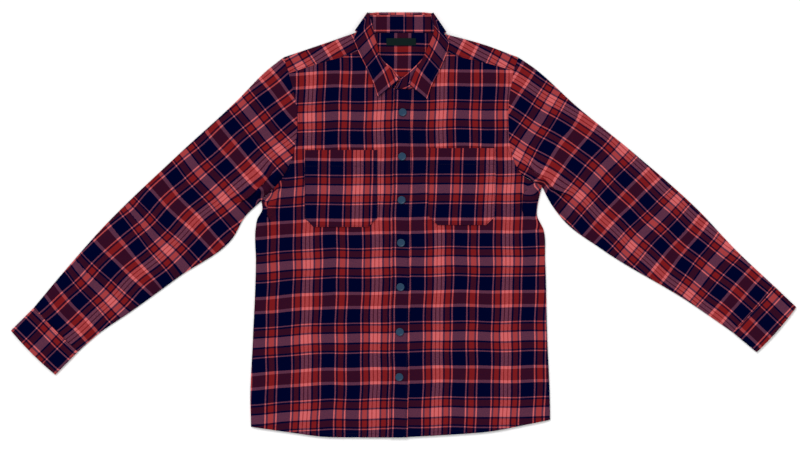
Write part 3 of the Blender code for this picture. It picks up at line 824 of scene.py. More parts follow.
@dataclass(frozen=True)
class Flannel:
    """Brushed cotton twill in a navy, red and salmon check."""

    navy: Colour = (0.020, 0.078, 0.230, 1.0)
    red: Colour = (0.546, 0.176, 0.187, 1.0)
    salmon: Colour = (0.865, 0.462, 0.470, 1.0)
    shade: Colour = (0.0, 0.0, 0.0, 1.0)
    # How much of the warp shows, and how much the twill, the nap and the slubs change that.
    warp_share: float = 0.525
    twill_share: float = 0.08
    nap_share: float = 0.40
    slub_share: float = 0.35
    slub_shade: float = 0.16
    depth: float = 2.59
    # Millimetres: the twill's pitch, and how far the edge of a stripe frays.
    twill: float = 1.1
    fray: float = 1.1
    # Scale, detail and roughness of each noise.
    fray_noise: tuple[float, ...] = (0.9, 2.0)
    nap_noise: tuple[float, ...] = (1.7, 4.0, 0.65)
    slub_noise: tuple[float, ...] = (0.45, 3.0, 0.7)
    twill_height: float = 0.35
    nap_height: float = 0.9
    bump: Plan = (0.35, 0.0004)
    roughness: float = 0.95
    sheen: float = 0.02
    sheen_roughness: float = 0.25

    def _sequence(self, nodes: Nodes, value: Value, rows: Sequence, half: float) -> Value:
        """Yarn colour across one direction of the check.

        Args:
            nodes: the tree.
            value: distance across it in millimetres.
            rows: yarns and widths from the middle of the repeat to its end.
            half: half of the repeat.

        Returns:
            The colour.
        """
        stops, edge = [], 0.0
        for yarn, width in rows:
            stops.append((edge / half, getattr(self, yarn)))
            edge += width
        return nodes.add("ShaderNodeValToRGB", {"interpolation": "CONSTANT", "stops": stops},
                         {0: value.pingpong(half) / half})

    def build(self) -> bpy.types.Material:
        """Make the material.

        Returns:
            The finished material. It reads the map named "weave", in millimetres.
        """
        nodes = Nodes("flannel")
        weave = nodes.add("ShaderNodeUVMap", {"uv_map": "weave"})
        u = nodes.add("ShaderNodeSeparateXYZ", None, {0: weave})
        v = u.other(1)
        edge = (nodes.noise(weave, *self.fray_noise) - 0.5) * self.fray
        warp = self._sequence(nodes, u + edge, WARP, HALF_WARP)
        weft = self._sequence(nodes, v + edge, WEFT, HALF_WEFT)
        step = 2 * math.pi / self.twill
        diagonal = ((u + v) * step).sine()
        nap = nodes.noise(weave, *self.nap_noise)
        slub = nodes.noise(weave, *self.slub_noise)
        share = ((1 - self.warp_share) + diagonal * self.twill_share
                 + (nap - 0.5) * self.nap_share + (slub - 0.5) * self.slub_share).clamp()
        blend = nodes.mix(share, warp, weft)
        worn = nodes.mix((slub * self.slub_shade).clamp(), blend, self.shade)
        colour = nodes.add("ShaderNodeGamma", None, {"Color": worn, "Gamma": self.depth})
        bump = nodes.bump(diagonal * self.twill_height + nap * self.nap_height, *self.bump)
        surface = nodes.add("ShaderNodeBsdfPrincipled", None, {
            "Base Color": colour, "Roughness": self.roughness, "Normal": bump,
            "Specular IOR Level": 0.0, "Sheen Weight": self.sheen,
            "Sheen Roughness": self.sheen_roughness})
        return nodes.finish(surface)


@dataclass(frozen=True)
class PlainFinish:
    """A finish of one colour, deeper in its grain."""

    name: str
    colour: Colour
    deep: Colour
    roughness: float
    grain: float
    bump: float
    gloss: float
    detail: ClassVar[float] = 3.0
    bump_distance: ClassVar[float] = 0.0003

    def build(self) -> bpy.types.Material:
        """Make the material.

        Returns:
            The finished material.
        """
        nodes = Nodes(self.name)
        where = nodes.add("ShaderNodeTexCoord", None, None, output="Object")
        noise = nodes.noise(where, self.grain, self.detail)
        surface = nodes.add("ShaderNodeBsdfPrincipled", None, {
            "Base Color": nodes.mix(noise, self.deep, self.colour), "Roughness": self.roughness,
            "Normal": nodes.bump(noise, self.bump, self.bump_distance),
            "Specular IOR Level": self.gloss})
        return nodes.finish(surface)


BUTTON_RESIN = PlainFinish("button_resin", (0.012, 0.045, 0.092, 1.0), (0.008, 0.032, 0.070, 1.0),
                           roughness=0.36, grain=420.0, bump=0.05, gloss=0.22)
LABEL_TAPE = PlainFinish("label_tape", (0.006, 0.014, 0.013, 1.0), (0.003, 0.008, 0.008, 1.0),
                         roughness=0.75, grain=1500.0, bump=0.4, gloss=0.02)
THREAD = PlainFinish("thread", (0.020, 0.012, 0.040, 1.0), (0.006, 0.004, 0.016, 1.0),
                     roughness=0.8, grain=2500.0, bump=0.3, gloss=0.02)


@dataclass
class Wardrobe:
    """The finishes, and the shift from the tables to the frame."""

    shift: Array
    flannel: bpy.types.Material = field(init=False)
    button: bpy.types.Material = field(init=False)
    label: bpy.types.Material = field(init=False)
    thread: bpy.types.Material = field(init=False)

    def __post_init__(self) -> None:
        """Make each finish once."""
        self.flannel = Flannel().build()
        self.button = BUTTON_RESIN.build()
        self.label = LABEL_TAPE.build()
        self.thread = THREAD.build()


def linked(name: str, data: bpy.types.ID) -> bpy.types.Object:
    """A new object for the data, linked to the scene."""
    obj = bpy.data.objects.new(name, data)
    bpy.context.scene.collection.objects.link(obj)
    return obj


@dataclass
class Shell:
    """A piece of cloth under construction: grids of places and the weave on each."""

    name: str
    thickness: float
    grids: list[Array] = field(default_factory=list)
    weaves: list[Array] = field(default_factory=list)
    # Millimetres within which places are one, the angle in degrees past which an edge is sharp,
    # and how far down a face has to look to count as the underside.
    merge: ClassVar[float] = 0.01
    sharp: ClassVar[float] = 55.0
    facing_down: ClassVar[float] = -0.5

    def add(self, grid: Array, weave: Array) -> None:
        """Add a grid of places with its places in the weave."""
        self.grids.append(grid)
        self.weaves.append(weave)

    def _mesh(self, shift: Array) -> bpy.types.Mesh:
        """Join the grids in one mesh, with the map named "weave".

        Args:
            shift: from the tables to the frame, in millimetres.

        Returns:
            The mesh, with no wall yet.
        """
        points, faces, corners = [], [], []
        offset = 0
        for grid, weave in zip(self.grids, self.weaves):
            rows, columns = grid.shape[:2]
            index = offset + np.arange(rows * columns).reshape(rows, columns)
            quads = np.stack((index[:-1, :-1], index[:-1, 1:], index[1:, 1:], index[1:, :-1]), -1)
            faces.append(quads.reshape(-1, 4))
            flat = weave.reshape(-1, 2)
            corners.append(flat[(quads - offset).reshape(-1)])
            points.append((grid.reshape(-1, 3) + shift) * MM)
            offset += rows * columns
        mesh = bpy.data.meshes.new(self.name)
        mesh.from_pydata(np.concatenate(points).tolist(), [], np.concatenate(faces).tolist())
        layer = mesh.uv_layers.new(name="weave")
        layer.data.foreach_set("uv", np.concatenate(corners).astype(np.float32).ravel())
        form = bmesh.new()
        form.from_mesh(mesh)
        bmesh.ops.remove_doubles(form, verts=form.verts, dist=self.merge * MM)
        bmesh.ops.recalc_face_normals(form, faces=form.faces)
        form.to_mesh(mesh)
        form.free()
        return mesh

    def build(self, shift: Array, finish: bpy.types.Material,
              under: Optional[Grain] = None) -> bpy.types.Object:
        """Make the shell.

        Args:
            shift: from the tables to the frame, in millimetres.
            finish: the material.
            under: how the check lies on faces that look down, where that differs.

        Returns:
            The object, with its place in its mesh.
        """
        mesh = self._mesh(shift)
        mesh.materials.append(finish)
        obj = linked(self.name, mesh)
        wall = obj.modifiers.new("wall", "SOLIDIFY")
        wall.thickness, wall.offset = self.thickness * MM, 0.0
        wall.use_even_offset, wall.use_rim = False, True
        solid = made_plain(obj)
        if under is not None:
            self._turn_under(solid.data, under, shift)
        solid.data.shade_smooth()
        solid.data.set_sharp_from_angle(angle=math.radians(self.sharp))
        return solid

    def _turn_under(self, mesh: bpy.types.Mesh, grain: Grain, shift: Array) -> None:
        """Lay the check afresh on the faces that look down.

        Args:
            mesh: the finished shell.
            grain: how the check lies there.
            shift: from the tables to the frame, in millimetres.
        """
        layer = mesh.uv_layers["weave"]
        down = [loop for poly in mesh.polygons if poly.normal.z < self.facing_down
                for loop in poly.loop_indices]
        places = np.array([mesh.vertices[mesh.loops[loop].vertex_index].co[:2] for loop in down])
        for loop, laid in zip(down, grain.lay(places / MM - shift[:2])):
            layer.data[loop].uv = laid


def made_plain(obj: bpy.types.Object) -> bpy.types.Object:
    """Turn an object's evaluated shape into a plain mesh of the same name.

    Args:
        obj: the object with its modifiers.

    Returns:
        The same object, with a plain mesh and no modifiers.
    """
    graph = bpy.context.evaluated_depsgraph_get()
    mesh = bpy.data.meshes.new_from_object(obj.evaluated_get(graph), preserve_all_data_layers=True,
                                           depsgraph=graph)
    name, old = obj.name, obj.data
    obj.modifiers.clear()
    obj.data = mesh
    bpy.data.meshes.remove(old)
    mesh.name = name
    return obj


@dataclass(frozen=True)
class Cut:
    """The cut of a piece: its rectangle in metres, how it is held and what it rests on."""

    width: float
    length: float
    held: str = "laid"
    rests_on: tuple[str, ...] = ()


def hand_over(obj: bpy.types.Object, node: str) -> None:
    """Attach a piece to the root body and hide the CAD node that it stands for.

    Args:
        obj: the piece.
        node: the CAD node that it stands for.
    """
    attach(obj, "root")
    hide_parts(node)
    LOG.info("%s: %d faces", obj.name, len(obj.data.polygons))


def deliver(shell: Shell, node: str, wardrobe: Wardrobe, slot: str = "flannel",
            under: Optional[Grain] = None) -> None:
    """Build a shell and hand it over.

    Args:
        shell: the piece of cloth.
        node: the CAD node that it stands for.
        wardrobe: the finishes, each named as its slot, and the shift.
        slot: which of the wardrobe's finishes to put on the piece, by its name.
        under: how the check lies on faces that look down, where that differs.
    """
    obj = shell.build(wardrobe.shift, getattr(wardrobe, slot), under)
    hand_over(obj, node)


def armhole(side: Side, fractions: Array) -> Array:
    """Places down the armhole."""
    return trace(ARMHOLE[side], fractions)


@dataclass
class Fronts:
    """The two fronts, the buttonhole band over them, and the pockets."""

    columns: int = 104
    body_rows: int = 170
    chest_rows: int = 96
    # How far above the underarm the line across the chest meets the centre.
    chest_rise: float = 10.0
    pocket_steps: int = 36
    corner_steps: int = 6
    band_columns: int = 12
    band_rows: int = 180

    def build(self, wardrobe: Wardrobe) -> None:
        """Build and hand over every piece of the front.

        Args:
            wardrobe: the finishes and the shift.
        """
        for side in Side:
            self._front(side, wardrobe)
            self._pocket(side, wardrobe)
        self._band(wardrobe)

    def _front(self, side: Side, wardrobe: Wardrobe) -> None:
        """One front, from the hem to the yoke seam.

        Args:
            side: which front.
            wardrobe: the finishes and the shift.
        """
        name = f"front_{side.value}"
        columns = even(self.columns)
        neckline = np.array(NECKLINE[side])
        hem = trace(HEM[side], columns)
        seam = trace(SIDE_SEAM[side][::-1], even(self.body_rows))
        hole = armhole(side, even(self.chest_rows))[::-1]
        share = (hole[0, 1] + self.chest_rise - hem[-1, 1]) / (neckline[0, 1] - hem[-1, 1])
        chest_centre = hem[-1] + share * (neckline[0] - hem[-1])
        chest = between(hole[0], chest_centre, columns)
        low_centre = between(hem[-1], chest_centre, even(self.body_rows))
        body = patch(hem, chest, seam, low_centre)
        half = self.chest_rows // 2
        inner = np.concatenate((between(chest_centre, neckline[0], even(half)),
                                trace(neckline, even(self.chest_rows - half))[1:]))
        yoke_seam = trace(YOKE_SEAM[side][::-1], columns) - (0.0, SEAM)
        hole[-1], inner[-1] = yoke_seam[0], yoke_seam[-1]
        top = patch(chest, yoke_seam, hole, inner)
        shell = Shell(f"{name}_cloth", CLOTH)
        for plan in (body, top):
            shell.add(draped(plan), GRAINS[name].lay(plan))
        deliver(shell, name, wardrobe)

    def _pocket(self, side: Side, wardrobe: Wardrobe) -> None:
        """A patch pocket with its lower corners cut off, on the front's own form.

        Args:
            side: which pocket.
            wardrobe: the finishes and the shift.
        """
        name, size = f"pocket_{side.value}", POCKETS[side]
        left, right = size["x"]
        cut, top, bottom = size["corner"], size["top"], size["bottom"]
        rows = even(self.pocket_steps)
        foot = even(self.corner_steps)
        xs = np.unique(np.concatenate((left + cut * foot, right - cut * foot, np.linspace(
            left + cut, right - cut, self.pocket_steps))))
        corner = np.clip(cut - np.minimum(xs - left, right - xs), 0.0, cut)
        low = np.stack((xs, bottom + corner), -1)
        high = np.stack((xs, np.full_like(xs, top)), -1)
        plan = low[None] + rows[:, None, None] * (high - low)[None]
        shell = Shell(f"{name}_cloth", CLOTH)
        shell.add(place(plan, upper(plan) + CLOTH + LAID), GRAINS[name].lay(plan))
        deliver(shell, name, wardrobe)

    def _band(self, wardrobe: Wardrobe) -> None:
        """The buttonhole band down the centre.

        Args:
            wardrobe: the finishes and the shift.
        """
        neck = np.array([(x, BAND["neck y"]) for x in BAND["neck"]])
        hem = np.array([(x, BAND["hem y"]) for x in BAND["hem"]])
        across = even(self.band_columns)[:, None]
        low, high = (end[0] + across * (end[1] - end[0]) for end in (hem, neck))
        plan = low[None] + even(self.band_rows)[:, None, None] * (high - low)[None]
        shell = Shell("front_band_cloth", CLOTH)
        shell.add(place(plan, upper(plan) + CLOTH + LAID), GRAINS["front_band"].lay(plan))
        deliver(shell, "front_band", wardrobe)


@dataclass
class Back:
    """The back, and the yoke that wraps over the shoulders."""

    columns: int = 96
    seam_rows: int = 90
    hole_rows: int = 30
    yoke_columns: int = 44
    yoke_rows: int = 36
    flap_rows: int = 16
    fold_steps: int = 8
    # Places down the armhole, as shares of it: the yoke's seam, and a place above that.
    seam_at: float = 0.2
    above_seam: float = 0.1
    # How much shorter than the fronts the back is at the hem.
    hem_short: float = 1.0
    # The share of the yoke's seam that each side part takes, and how soon the neck's curve eases
    # in, as a share of its width.
    foot_share: float = 0.26
    neck_ease: float = 0.16

    def build(self, wardrobe: Wardrobe) -> None:
        """Build and hand over the back and the yoke.

        Args:
            wardrobe: the finishes and the shift.
        """
        self._back(wardrobe)
        self._yoke(wardrobe)

    def _seam_ends(self) -> dict[Side, Array]:
        """Where the yoke's foot meets each armhole."""
        return {side: armhole(side, np.array([self.seam_at]))[0] for side in Side}

    def _back(self, wardrobe: Wardrobe) -> None:
        """The back panel, which is what the shirt rests on.

        Args:
            wardrobe: the finishes and the shift.
        """
        columns = even(self.columns)
        hem = trace(HEM[Side.RIGHT] + HEM[Side.LEFT][::-1][1:], columns) + (0.0, self.hem_short)
        edges = []
        for side in Side:
            seam = trace(SIDE_SEAM[side][::-1], even(self.seam_rows))
            hole = armhole(side, np.linspace(1.0, self.seam_at, self.hole_rows + 1))
            edges.append(np.concatenate((seam, hole[1:])))
        edges[0][0], edges[1][0] = hem[0], hem[-1]
        ends = self._seam_ends()
        top = between(ends[Side.RIGHT], ends[Side.LEFT], columns) - (0.0, SEAM)
        edges[0][-1], edges[1][-1] = top[0], top[-1]
        plan = patch(hem, top, edges[0], edges[1])
        shell = Shell("back_cloth", CLOTH)
        shell.add(place(plan, lower(plan)), GRAINS["back"].lay(plan))
        deliver(shell, "back", wardrobe)

    def _yoke(self, wardrobe: Wardrobe) -> None:
        """The yoke: flat across the back, bent over both shoulders, down to the front seams.

        Args:
            wardrobe: the finishes and the shift.
        """
        ends, columns, rows = self._seam_ends(), even(self.yoke_columns), even(self.yoke_rows)
        shell = Shell("yoke_cloth", CLOTH)
        necks = {}
        for side in Side:
            line = trace(SHOULDER[side][::-1], columns)
            run = line[-1] - line[0]
            out = np.array((-run[1], run[0])) / np.linalg.norm(run)
            out = -out if out[1] < 0 else out
            hole = armhole(side, np.array([self.above_seam, 0.0]))
            across = ends[Side.LEFT] - ends[Side.RIGHT]
            foot_end = ends[side] + across * (-self.foot_share * side.outward)
            foot = between(ends[side], foot_end, columns)
            top, bottom = upper(line), LOWER + neck_lift(line)
            fold = line - ((top - bottom) / 2 + CLOTH / 2)[:, None] * out
            outer = trace((ends[side], hole[0], hole[1], fold[0]), rows)
            under = patch(foot, fold, outer, between(foot[-1], fold[-1], rows))
            seam = trace(YOKE_SEAM[side][::-1], columns)
            flap_rows = even(self.flap_rows)
            over = patch(fold, seam, between(fold[0], seam[0], flap_rows),
                         between(fold[-1], seam[-1], flap_rows))
            low, high = place(under, LOWER + neck_lift(under)), place(over, upper(over))
            rounds = np.array(bend(fold, out, high[0, :, 2], low[-1, :, 2], self.fold_steps))
            turn = np.concatenate((low[-1:], rounds[::-1], high))
            shell.add(turn, GRAINS[f"flap_{side.value}"].lay(turn[..., :2]))
            shell.add(low, GRAINS["yoke_back"].lay(under))
            necks[side] = under[:, -1]
        middle = even(self.yoke_columns)
        foot = between(necks[Side.RIGHT][0], necks[Side.LEFT][0], middle)
        neck = between(necks[Side.RIGHT][-1], necks[Side.LEFT][-1], middle)
        ease = smooth(0.0, self.neck_ease, np.minimum(middle, 1 - middle))
        neck[:, 1] += ease * (BACK_NECK_Y - SEAM - neck[:, 1])
        centre = patch(foot, neck, necks[Side.RIGHT], necks[Side.LEFT])
        shell.add(place(centre, LOWER + neck_lift(centre)), GRAINS["yoke_back"].lay(centre))
        deliver(shell, "yoke", wardrobe, under=GRAINS["yoke_back"])


@dataclass
class Arms:
    """The sleeves and cuffs, as flattened tubes."""

    columns: int = 104
    rows: int = 200
    shoulder_columns: int = 16
    fold_steps: int = 6
    # How fast the rows draw together towards the armhole, and how late down the armhole the
    # sleeve moves off the side, both as powers.
    rows_power: float = 1.2
    clear_power: int = 4
    # From where down the sleeve its upper layer dips to meet the cuff.
    dip_from: float = 0.975
    # The turning under the next piece: its reach, its rows, how far it lies below the wall, and
    # into how many parts the columns go, of which it leaves out one at each fold.
    tuck_in: float = 2.0
    lip_rows: int = 3
    lip_below: float = 0.15
    lip_margin: int = 40
    cuff_wall: float = 1.2
    cuff_columns: int = 28
    cuff_rows: int = 22
    cuff_loft: float = 0.5

    def build(self, wardrobe: Wardrobe) -> None:
        """Build and hand over both arms.

        Args:
            wardrobe: the finishes and the shift.
        """
        for side in Side:
            self._sleeve(side, wardrobe)
            self._cuff(side, wardrobe)

    def _tube(self, shell: Shell, sections: Array, tops: Array, floor: float,
              grain: Grain) -> list[tuple[Array, Array]]:
        """Add a flattened tube, with its seam along the lower fold.

        Args:
            shell: the piece to add to.
            sections: rows of places from the top fold to the lower fold.
            tops: the sideways move and the height of the upper layer at each place.
            floor: height of the lower layer.
            grain: how the check lies on the upper layer.

        Returns:
            For each section, the places of its upper layer and their places in the weave.
        """
        rows, weaves, lips = [], [], []
        for section, over in zip(sections, tops):
            across = section[-1] - section[0]
            width = np.linalg.norm(across)
            ends_up = over[[0, -1], 2]
            inset = (ends_up.max() - floor) / 2 + shell.thickness / 2
            middle = (section[0] + section[-1]) / 2
            plan = middle + (section - middle) * (1 - 2 * inset / width)
            ends, bottom = plan[[0, -1]], np.full(2, floor)
            out = across / width
            far = [column[1] for column in bend(ends, out, ends_up, bottom, self.fold_steps)]
            near = [column[0] for column in bend(ends, -out, ends_up, bottom, self.fold_steps)]
            above = place(plan + over[:, :2], over[:, 2])
            rows.append(np.concatenate((far[::-1], above[::-1], near, place(plan, floor))))
            weave = grain.lay(plan)
            start = weave[0]
            turned = np.stack((2 * start[0] - weave[:, 0], weave[:, 1]), -1)
            arc = math.pi * (ends_up[0] - floor) / 2
            sign = math.copysign(1.0, start[0] - weave[-1, 0])
            share = even(len(near) + 1)[1:-1][:, None]
            shift = np.array((sign * arc, 0.0))
            low_arc = even(len(far) + 1)[1:-1][::-1][:, None] * np.array((-sign * arc, 0.0))
            weaves.append(np.concatenate((weave[-1] + low_arc, weave[::-1],
                                          start + share * shift, turned + shift)))
            lips.append((above, weave))
        rows, weaves = np.array(rows), np.array(weaves)
        closing = np.concatenate((rows[:, -1:], rows[:, :1]), axis=1)
        shell.add(rows, weaves)
        last = weaves[:, -1:]
        shell.add(closing, np.concatenate((last, last), axis=1))
        return lips

    def _sleeve(self, side: Side, wardrobe: Wardrobe) -> None:
        """One sleeve, from the armhole to the cuff seam.

        Args:
            side: which sleeve.
            wardrobe: the finishes and the shift.
        """
        name, out = f"sleeve_{side.value}", side.outward
        head = trace((SHOULDER[side][-1], ARMHOLE[side][0]), even(self.shoulder_columns))
        hole = armhole(side, even(self.columns - self.shoulder_columns))
        start = np.concatenate((head[:-1], hole)) + (out * SEAM, 0.0)
        columns = even(len(start) - 1)
        start = start + (columns**self.clear_power)[:, None] * (0.0, UNDERARM_CLEAR)
        rows = even(self.rows) ** self.rows_power
        top, low = trace(SLEEVE_TOP[side], rows)[:, None], trace(SLEEVE_LOW[side], rows)[:, None]
        top[0], low[0] = start[0], start[-1]
        curve = start - between(start[0], start[-1], columns)
        fade = np.exp(-rows / ARMHOLE_FADE)[:, None, None]
        seam = low[-1, 0] - top[-1, 0]
        inward = np.array((seam[1], -seam[0])) * out / np.linalg.norm(seam)
        top[-1], low[-1] = top[-1] + SEAM * inward, low[-1] + SEAM * inward
        plan = top + columns[:, None] * (low - top) + fade * curve
        tops = draped(plan)
        tops[..., :2] -= plan
        dip = smooth(self.dip_from, 1.0, even(self.rows))[:, None]
        tops[..., 2] += dip * (EDGE - tops[..., 2])
        tops[:, 0] = tops[:, -1] = (0.0, 0.0, EDGE)
        shell = Shell(f"{name}_cloth", CLOTH)
        layers = self._tube(shell, plan, tops, LOWER, GRAINS[name])
        self._lip(shell, *layers[0],
                  np.array((-out * self.tuck_in, 0.0, -CLOTH - self.lip_below)))
        self._lip(shell, *layers[-1], np.array((*(-self.tuck_in * inward), 0.0)))
        deliver(shell, name, wardrobe)

    def _lip(self, shell: Shell, edge: Array, weave: Array, step: Array) -> None:
        """Add the turning that runs under the next piece, clear of the folds at both ends.

        Args:
            shell: the piece to add to.
            edge: the places along its edge.
            weave: their places in the weave.
            step: from the edge to the end of the turning.
        """
        margin = len(edge) // self.lip_margin
        edge, weave = edge[margin:-margin], weave[margin:-margin]
        lip = edge[None] + even(self.lip_rows)[:, None, None] * step
        lip[1:, :, 2] = np.maximum(lip[1:, :, 2], LOWER)
        shell.add(lip, np.repeat(weave[None], len(lip), axis=0))

    def _cuff(self, side: Side, wardrobe: Wardrobe) -> None:
        """One cuff, closed round the end of its sleeve.

        Args:
            side: which cuff.
            wardrobe: the finishes and the shift.
        """
        name = f"cuff_{side.value}"
        corners = {key: np.array(corner) for key, corner in CUFF_CORNERS[side].items()}
        columns = even(self.cuff_columns)
        along = corners["end top"] - corners["seam top"]
        along = along / np.linalg.norm(along)
        start = between(corners["seam top"], corners["seam low"], columns)
        end = between(corners["end top"], corners["end low"], columns)
        end = end + (4 * columns * (1 - columns) * CUFF_BOW)[:, None] * along
        rows = even(self.cuff_rows)
        plan = patch(start, end, between(start[0], end[0], rows), between(start[-1], end[-1], rows))
        floor = self.cuff_wall / 2
        crown = 4 * columns * (1 - columns) * LOFT * self.cuff_loft
        top = CUFF + CUFF + LAID - self.cuff_wall / 2
        flat = np.zeros(plan.shape)
        tops = place(flat, np.broadcast_to(top + crown, plan.shape[:-1]))
        shell = Shell(f"{name}_cloth", self.cuff_wall)
        self._tube(shell, plan, tops, floor, GRAINS[name])
        deliver(shell, name, wardrobe)


@dataclass
class Collar:
    """The stand, the leaf turned down over it, and the label inside the neck."""

    front_steps: int = 44
    back_steps: int = 40
    turn_steps: int = 8
    rows: int = 16
    # How soon the back's edges reach their level, as a share of its width.
    ease: float = 0.14
    # A place on the back of the stand where the middle of a wide navy stripe meets a weft bar.
    stand_check: Plan = (28.2, 375.9)
    # On the leaf: from its outer edge to the middle of the wide navy stripe, and from its tip to
    # the middle of a red bar.
    edge_to_navy: float = 14.0
    tip_to_red: float = 17.0
    # How the leaf's front drops towards its roll: shares of its depth, and the drop at each.
    roll_at: tuple[float, ...] = (0.0, 0.35, 0.7, 0.93, 1.0)
    roll_drop: tuple[float, ...] = (0.0, 0.0, 0.0, 0.1, 0.4)
    label_steps: tuple[int, int] = (24, 8)
    label_ripple: Plan = (0.12, 6.0)

    def build(self, wardrobe: Wardrobe) -> None:
        """Build and hand over the collar and the label.

        Args:
            wardrobe: the finishes and the shift.
        """
        self._stand(wardrobe)
        self._leaf(wardrobe)
        self._label(wardrobe)

    def _grid(self, fronts: dict[Side, tuple[Section, ...]], folds: dict[Side, Section],
              levels: Plan, tops: Callable[[Array], Array], bottoms: Callable[[Array], Array],
              drop: Array) -> Array:
        """A band round the neck: one front, its fold, the back, the other fold and front.

        Args:
            fronts: sections of each front part, outer place and inner place.
            folds: the section at each fold.
            levels: y of the outer and the inner edge across the back.
            tops: height of the front parts from the plan.
            bottoms: height of the back part from the plan.
            drop: how far each row lies below the top.

        Returns:
            Places as columns along the band, rows across it, x, y and z.
        """
        rows = even(self.rows)
        columns = {}
        for side in Side:
            sections = list(fronts[side]) + [folds[side]]
            outer = trace([section[0] for section in sections], even(self.front_steps))
            inner = trace([section[1] for section in sections], even(self.front_steps))
            plan = outer + rows[:, None, None] * (inner - outer)
            heights = tops(plan) - drop[:, None]
            fold = plan[:, -1]
            run = fold[-1] - fold[0]
            out = np.array((run[1], -run[0])) / np.linalg.norm(run)
            out = -out if out[0] * side.outward < 0 else out
            rounds = bend(fold, out, heights[:, -1], bottoms(fold), self.turn_steps)
            columns[side] = np.concatenate((place(plan, heights).transpose(1, 0, 2), rounds))
        middle = even(self.back_steps)
        ease = smooth(0.0, self.ease, np.minimum(middle, 1 - middle))
        near, far = (np.array(folds[side]) for side in Side)
        near, far = (fold[0] + rows[:, None] * (fold[1] - fold[0]) for fold in (near, far))
        edges = []
        for index, level in ((0, levels[0]), (-1, levels[1])):
            edge = near[index] + middle[:, None] * (far[index] - near[index])
            edge[:, 1] += ease * (level - edge[:, 1])
            edges.append(edge)
        back = patch(edges[0], edges[1], near, far)
        back = place(back, bottoms(back)).transpose(1, 0, 2)
        return np.concatenate((columns[Side.RIGHT], back, columns[Side.LEFT][::-1]))

    def _stand(self, wardrobe: Wardrobe) -> None:
        """The stand, with its back part seen inside the neck.

        Args:
            wardrobe: the finishes and the shift.
        """
        grid = self._grid(STAND_FRONT, STAND_FOLD, (BACK_NECK_Y + SEAM, STAND_TOP_Y), upper,
                          lambda plan: LOWER + neck_lift(plan), np.zeros(self.rows + 1))
        shell = Shell("collar_stand_cloth", STAND)
        along = np.linalg.norm(np.diff(grid[:, -1], axis=0), axis=-1)
        along = np.concatenate(([0.0], np.cumsum(along)))
        middle, (check_x, check_y) = len(grid) // 2, self.stand_check
        along += grid[middle, -1, 0] - check_x - along[middle]
        across = np.linalg.norm(grid - grid[:, -1:], axis=-1)
        weave = np.stack((STAND_TOP_Y - check_y + TO_NAVY - across,
                          np.broadcast_to(along[:, None], across.shape)), -1)
        front = (len(grid) - self.back_steps - 1) // 2
        flat = grid[front:-front]
        weave[front:-front] = np.stack((flat[..., 1] - check_y + TO_NAVY,
                                        flat[..., 0] - check_x), -1)
        shell.add(grid, weave)
        deliver(shell, "collar_stand", wardrobe)

    def _leaf(self, wardrobe: Wardrobe) -> None:
        """The leaf: over the fronts, and under the back of the neck.

        Args:
            wardrobe: the finishes and the shift.
        """
        drop = np.interp(even(self.rows), self.roll_at, self.roll_drop)
        grid = self._grid(LEAF_FRONT, LEAF_FOLD, (LEAF_BACK["outer y"], LEAF_BACK["roll y"]),
                          lambda plan: upper(plan) + LEAF_OVER,
                          lambda plan: np.full(plan.shape[:-1], LEAF / 2), drop)
        along = np.linalg.norm(np.diff(grid[:, 0], axis=0), axis=-1)
        along = np.concatenate(([0.0], np.cumsum(along)))
        near_tip = np.minimum(along, along[-1] - along)
        across = np.linalg.norm(grid - grid[:, :1], axis=-1)
        weave = np.stack((TO_NAVY + self.edge_to_navy - across,
                          np.broadcast_to((HALF_WEFT - near_tip + self.tip_to_red)[:, None],
                                          across.shape)), -1)
        shell = Shell("collar_leaf_cloth", LEAF)
        shell.add(grid, weave)
        first = self.front_steps + self.turn_steps
        keep = slice(first - 1, first + self.back_steps + 2)
        edge, edge_weave = grid[keep, -1], weave[keep, -1]
        top = np.full(len(edge), LOWER + LIFT)
        rounds = bend(edge[:, :2], np.array((0.0, 1.0)), top, edge[:, 2], self.turn_steps)
        lip = place(edge[:, :2] * (1, 0) + (0, LEAF_BACK["seam y"]), top)
        roll = np.array([edge, *rounds[::-1], place(edge[:, :2], top), lip])
        run = np.linalg.norm(np.diff(roll, axis=0), axis=-1)
        run = np.concatenate((np.zeros((1, run.shape[1])), np.cumsum(run, axis=0)))
        roll_weave = np.stack((edge_weave[None, :, 0] - run,
                               np.broadcast_to(edge_weave[:, 1], run.shape)), -1)
        shell.add(roll, roll_weave)
        deliver(shell, "collar_leaf", wardrobe)

    def _label(self, wardrobe: Wardrobe) -> None:
        """The blank label inside the neck.

        Args:
            wardrobe: the finishes and the shift.
        """
        (left, right), (low, high) = LABEL_BOX["x"], LABEL_BOX["y"]
        xs = left + even(self.label_steps[0]) * (right - left)
        ys = low + even(self.label_steps[1]) * (high - low)
        plan = np.stack(np.meshgrid(xs, ys), -1)
        depth, length = self.label_ripple
        ripple = depth * np.sin(plan[..., 0] / length)
        height = LOWER + LIFT + CLOTH / 2 + LAID + LABEL / 2
        shell = Shell("neck_label_tape", LABEL)
        shell.add(place(plan, height + ripple), plan)
        deliver(shell, "neck_label", wardrobe, "label")


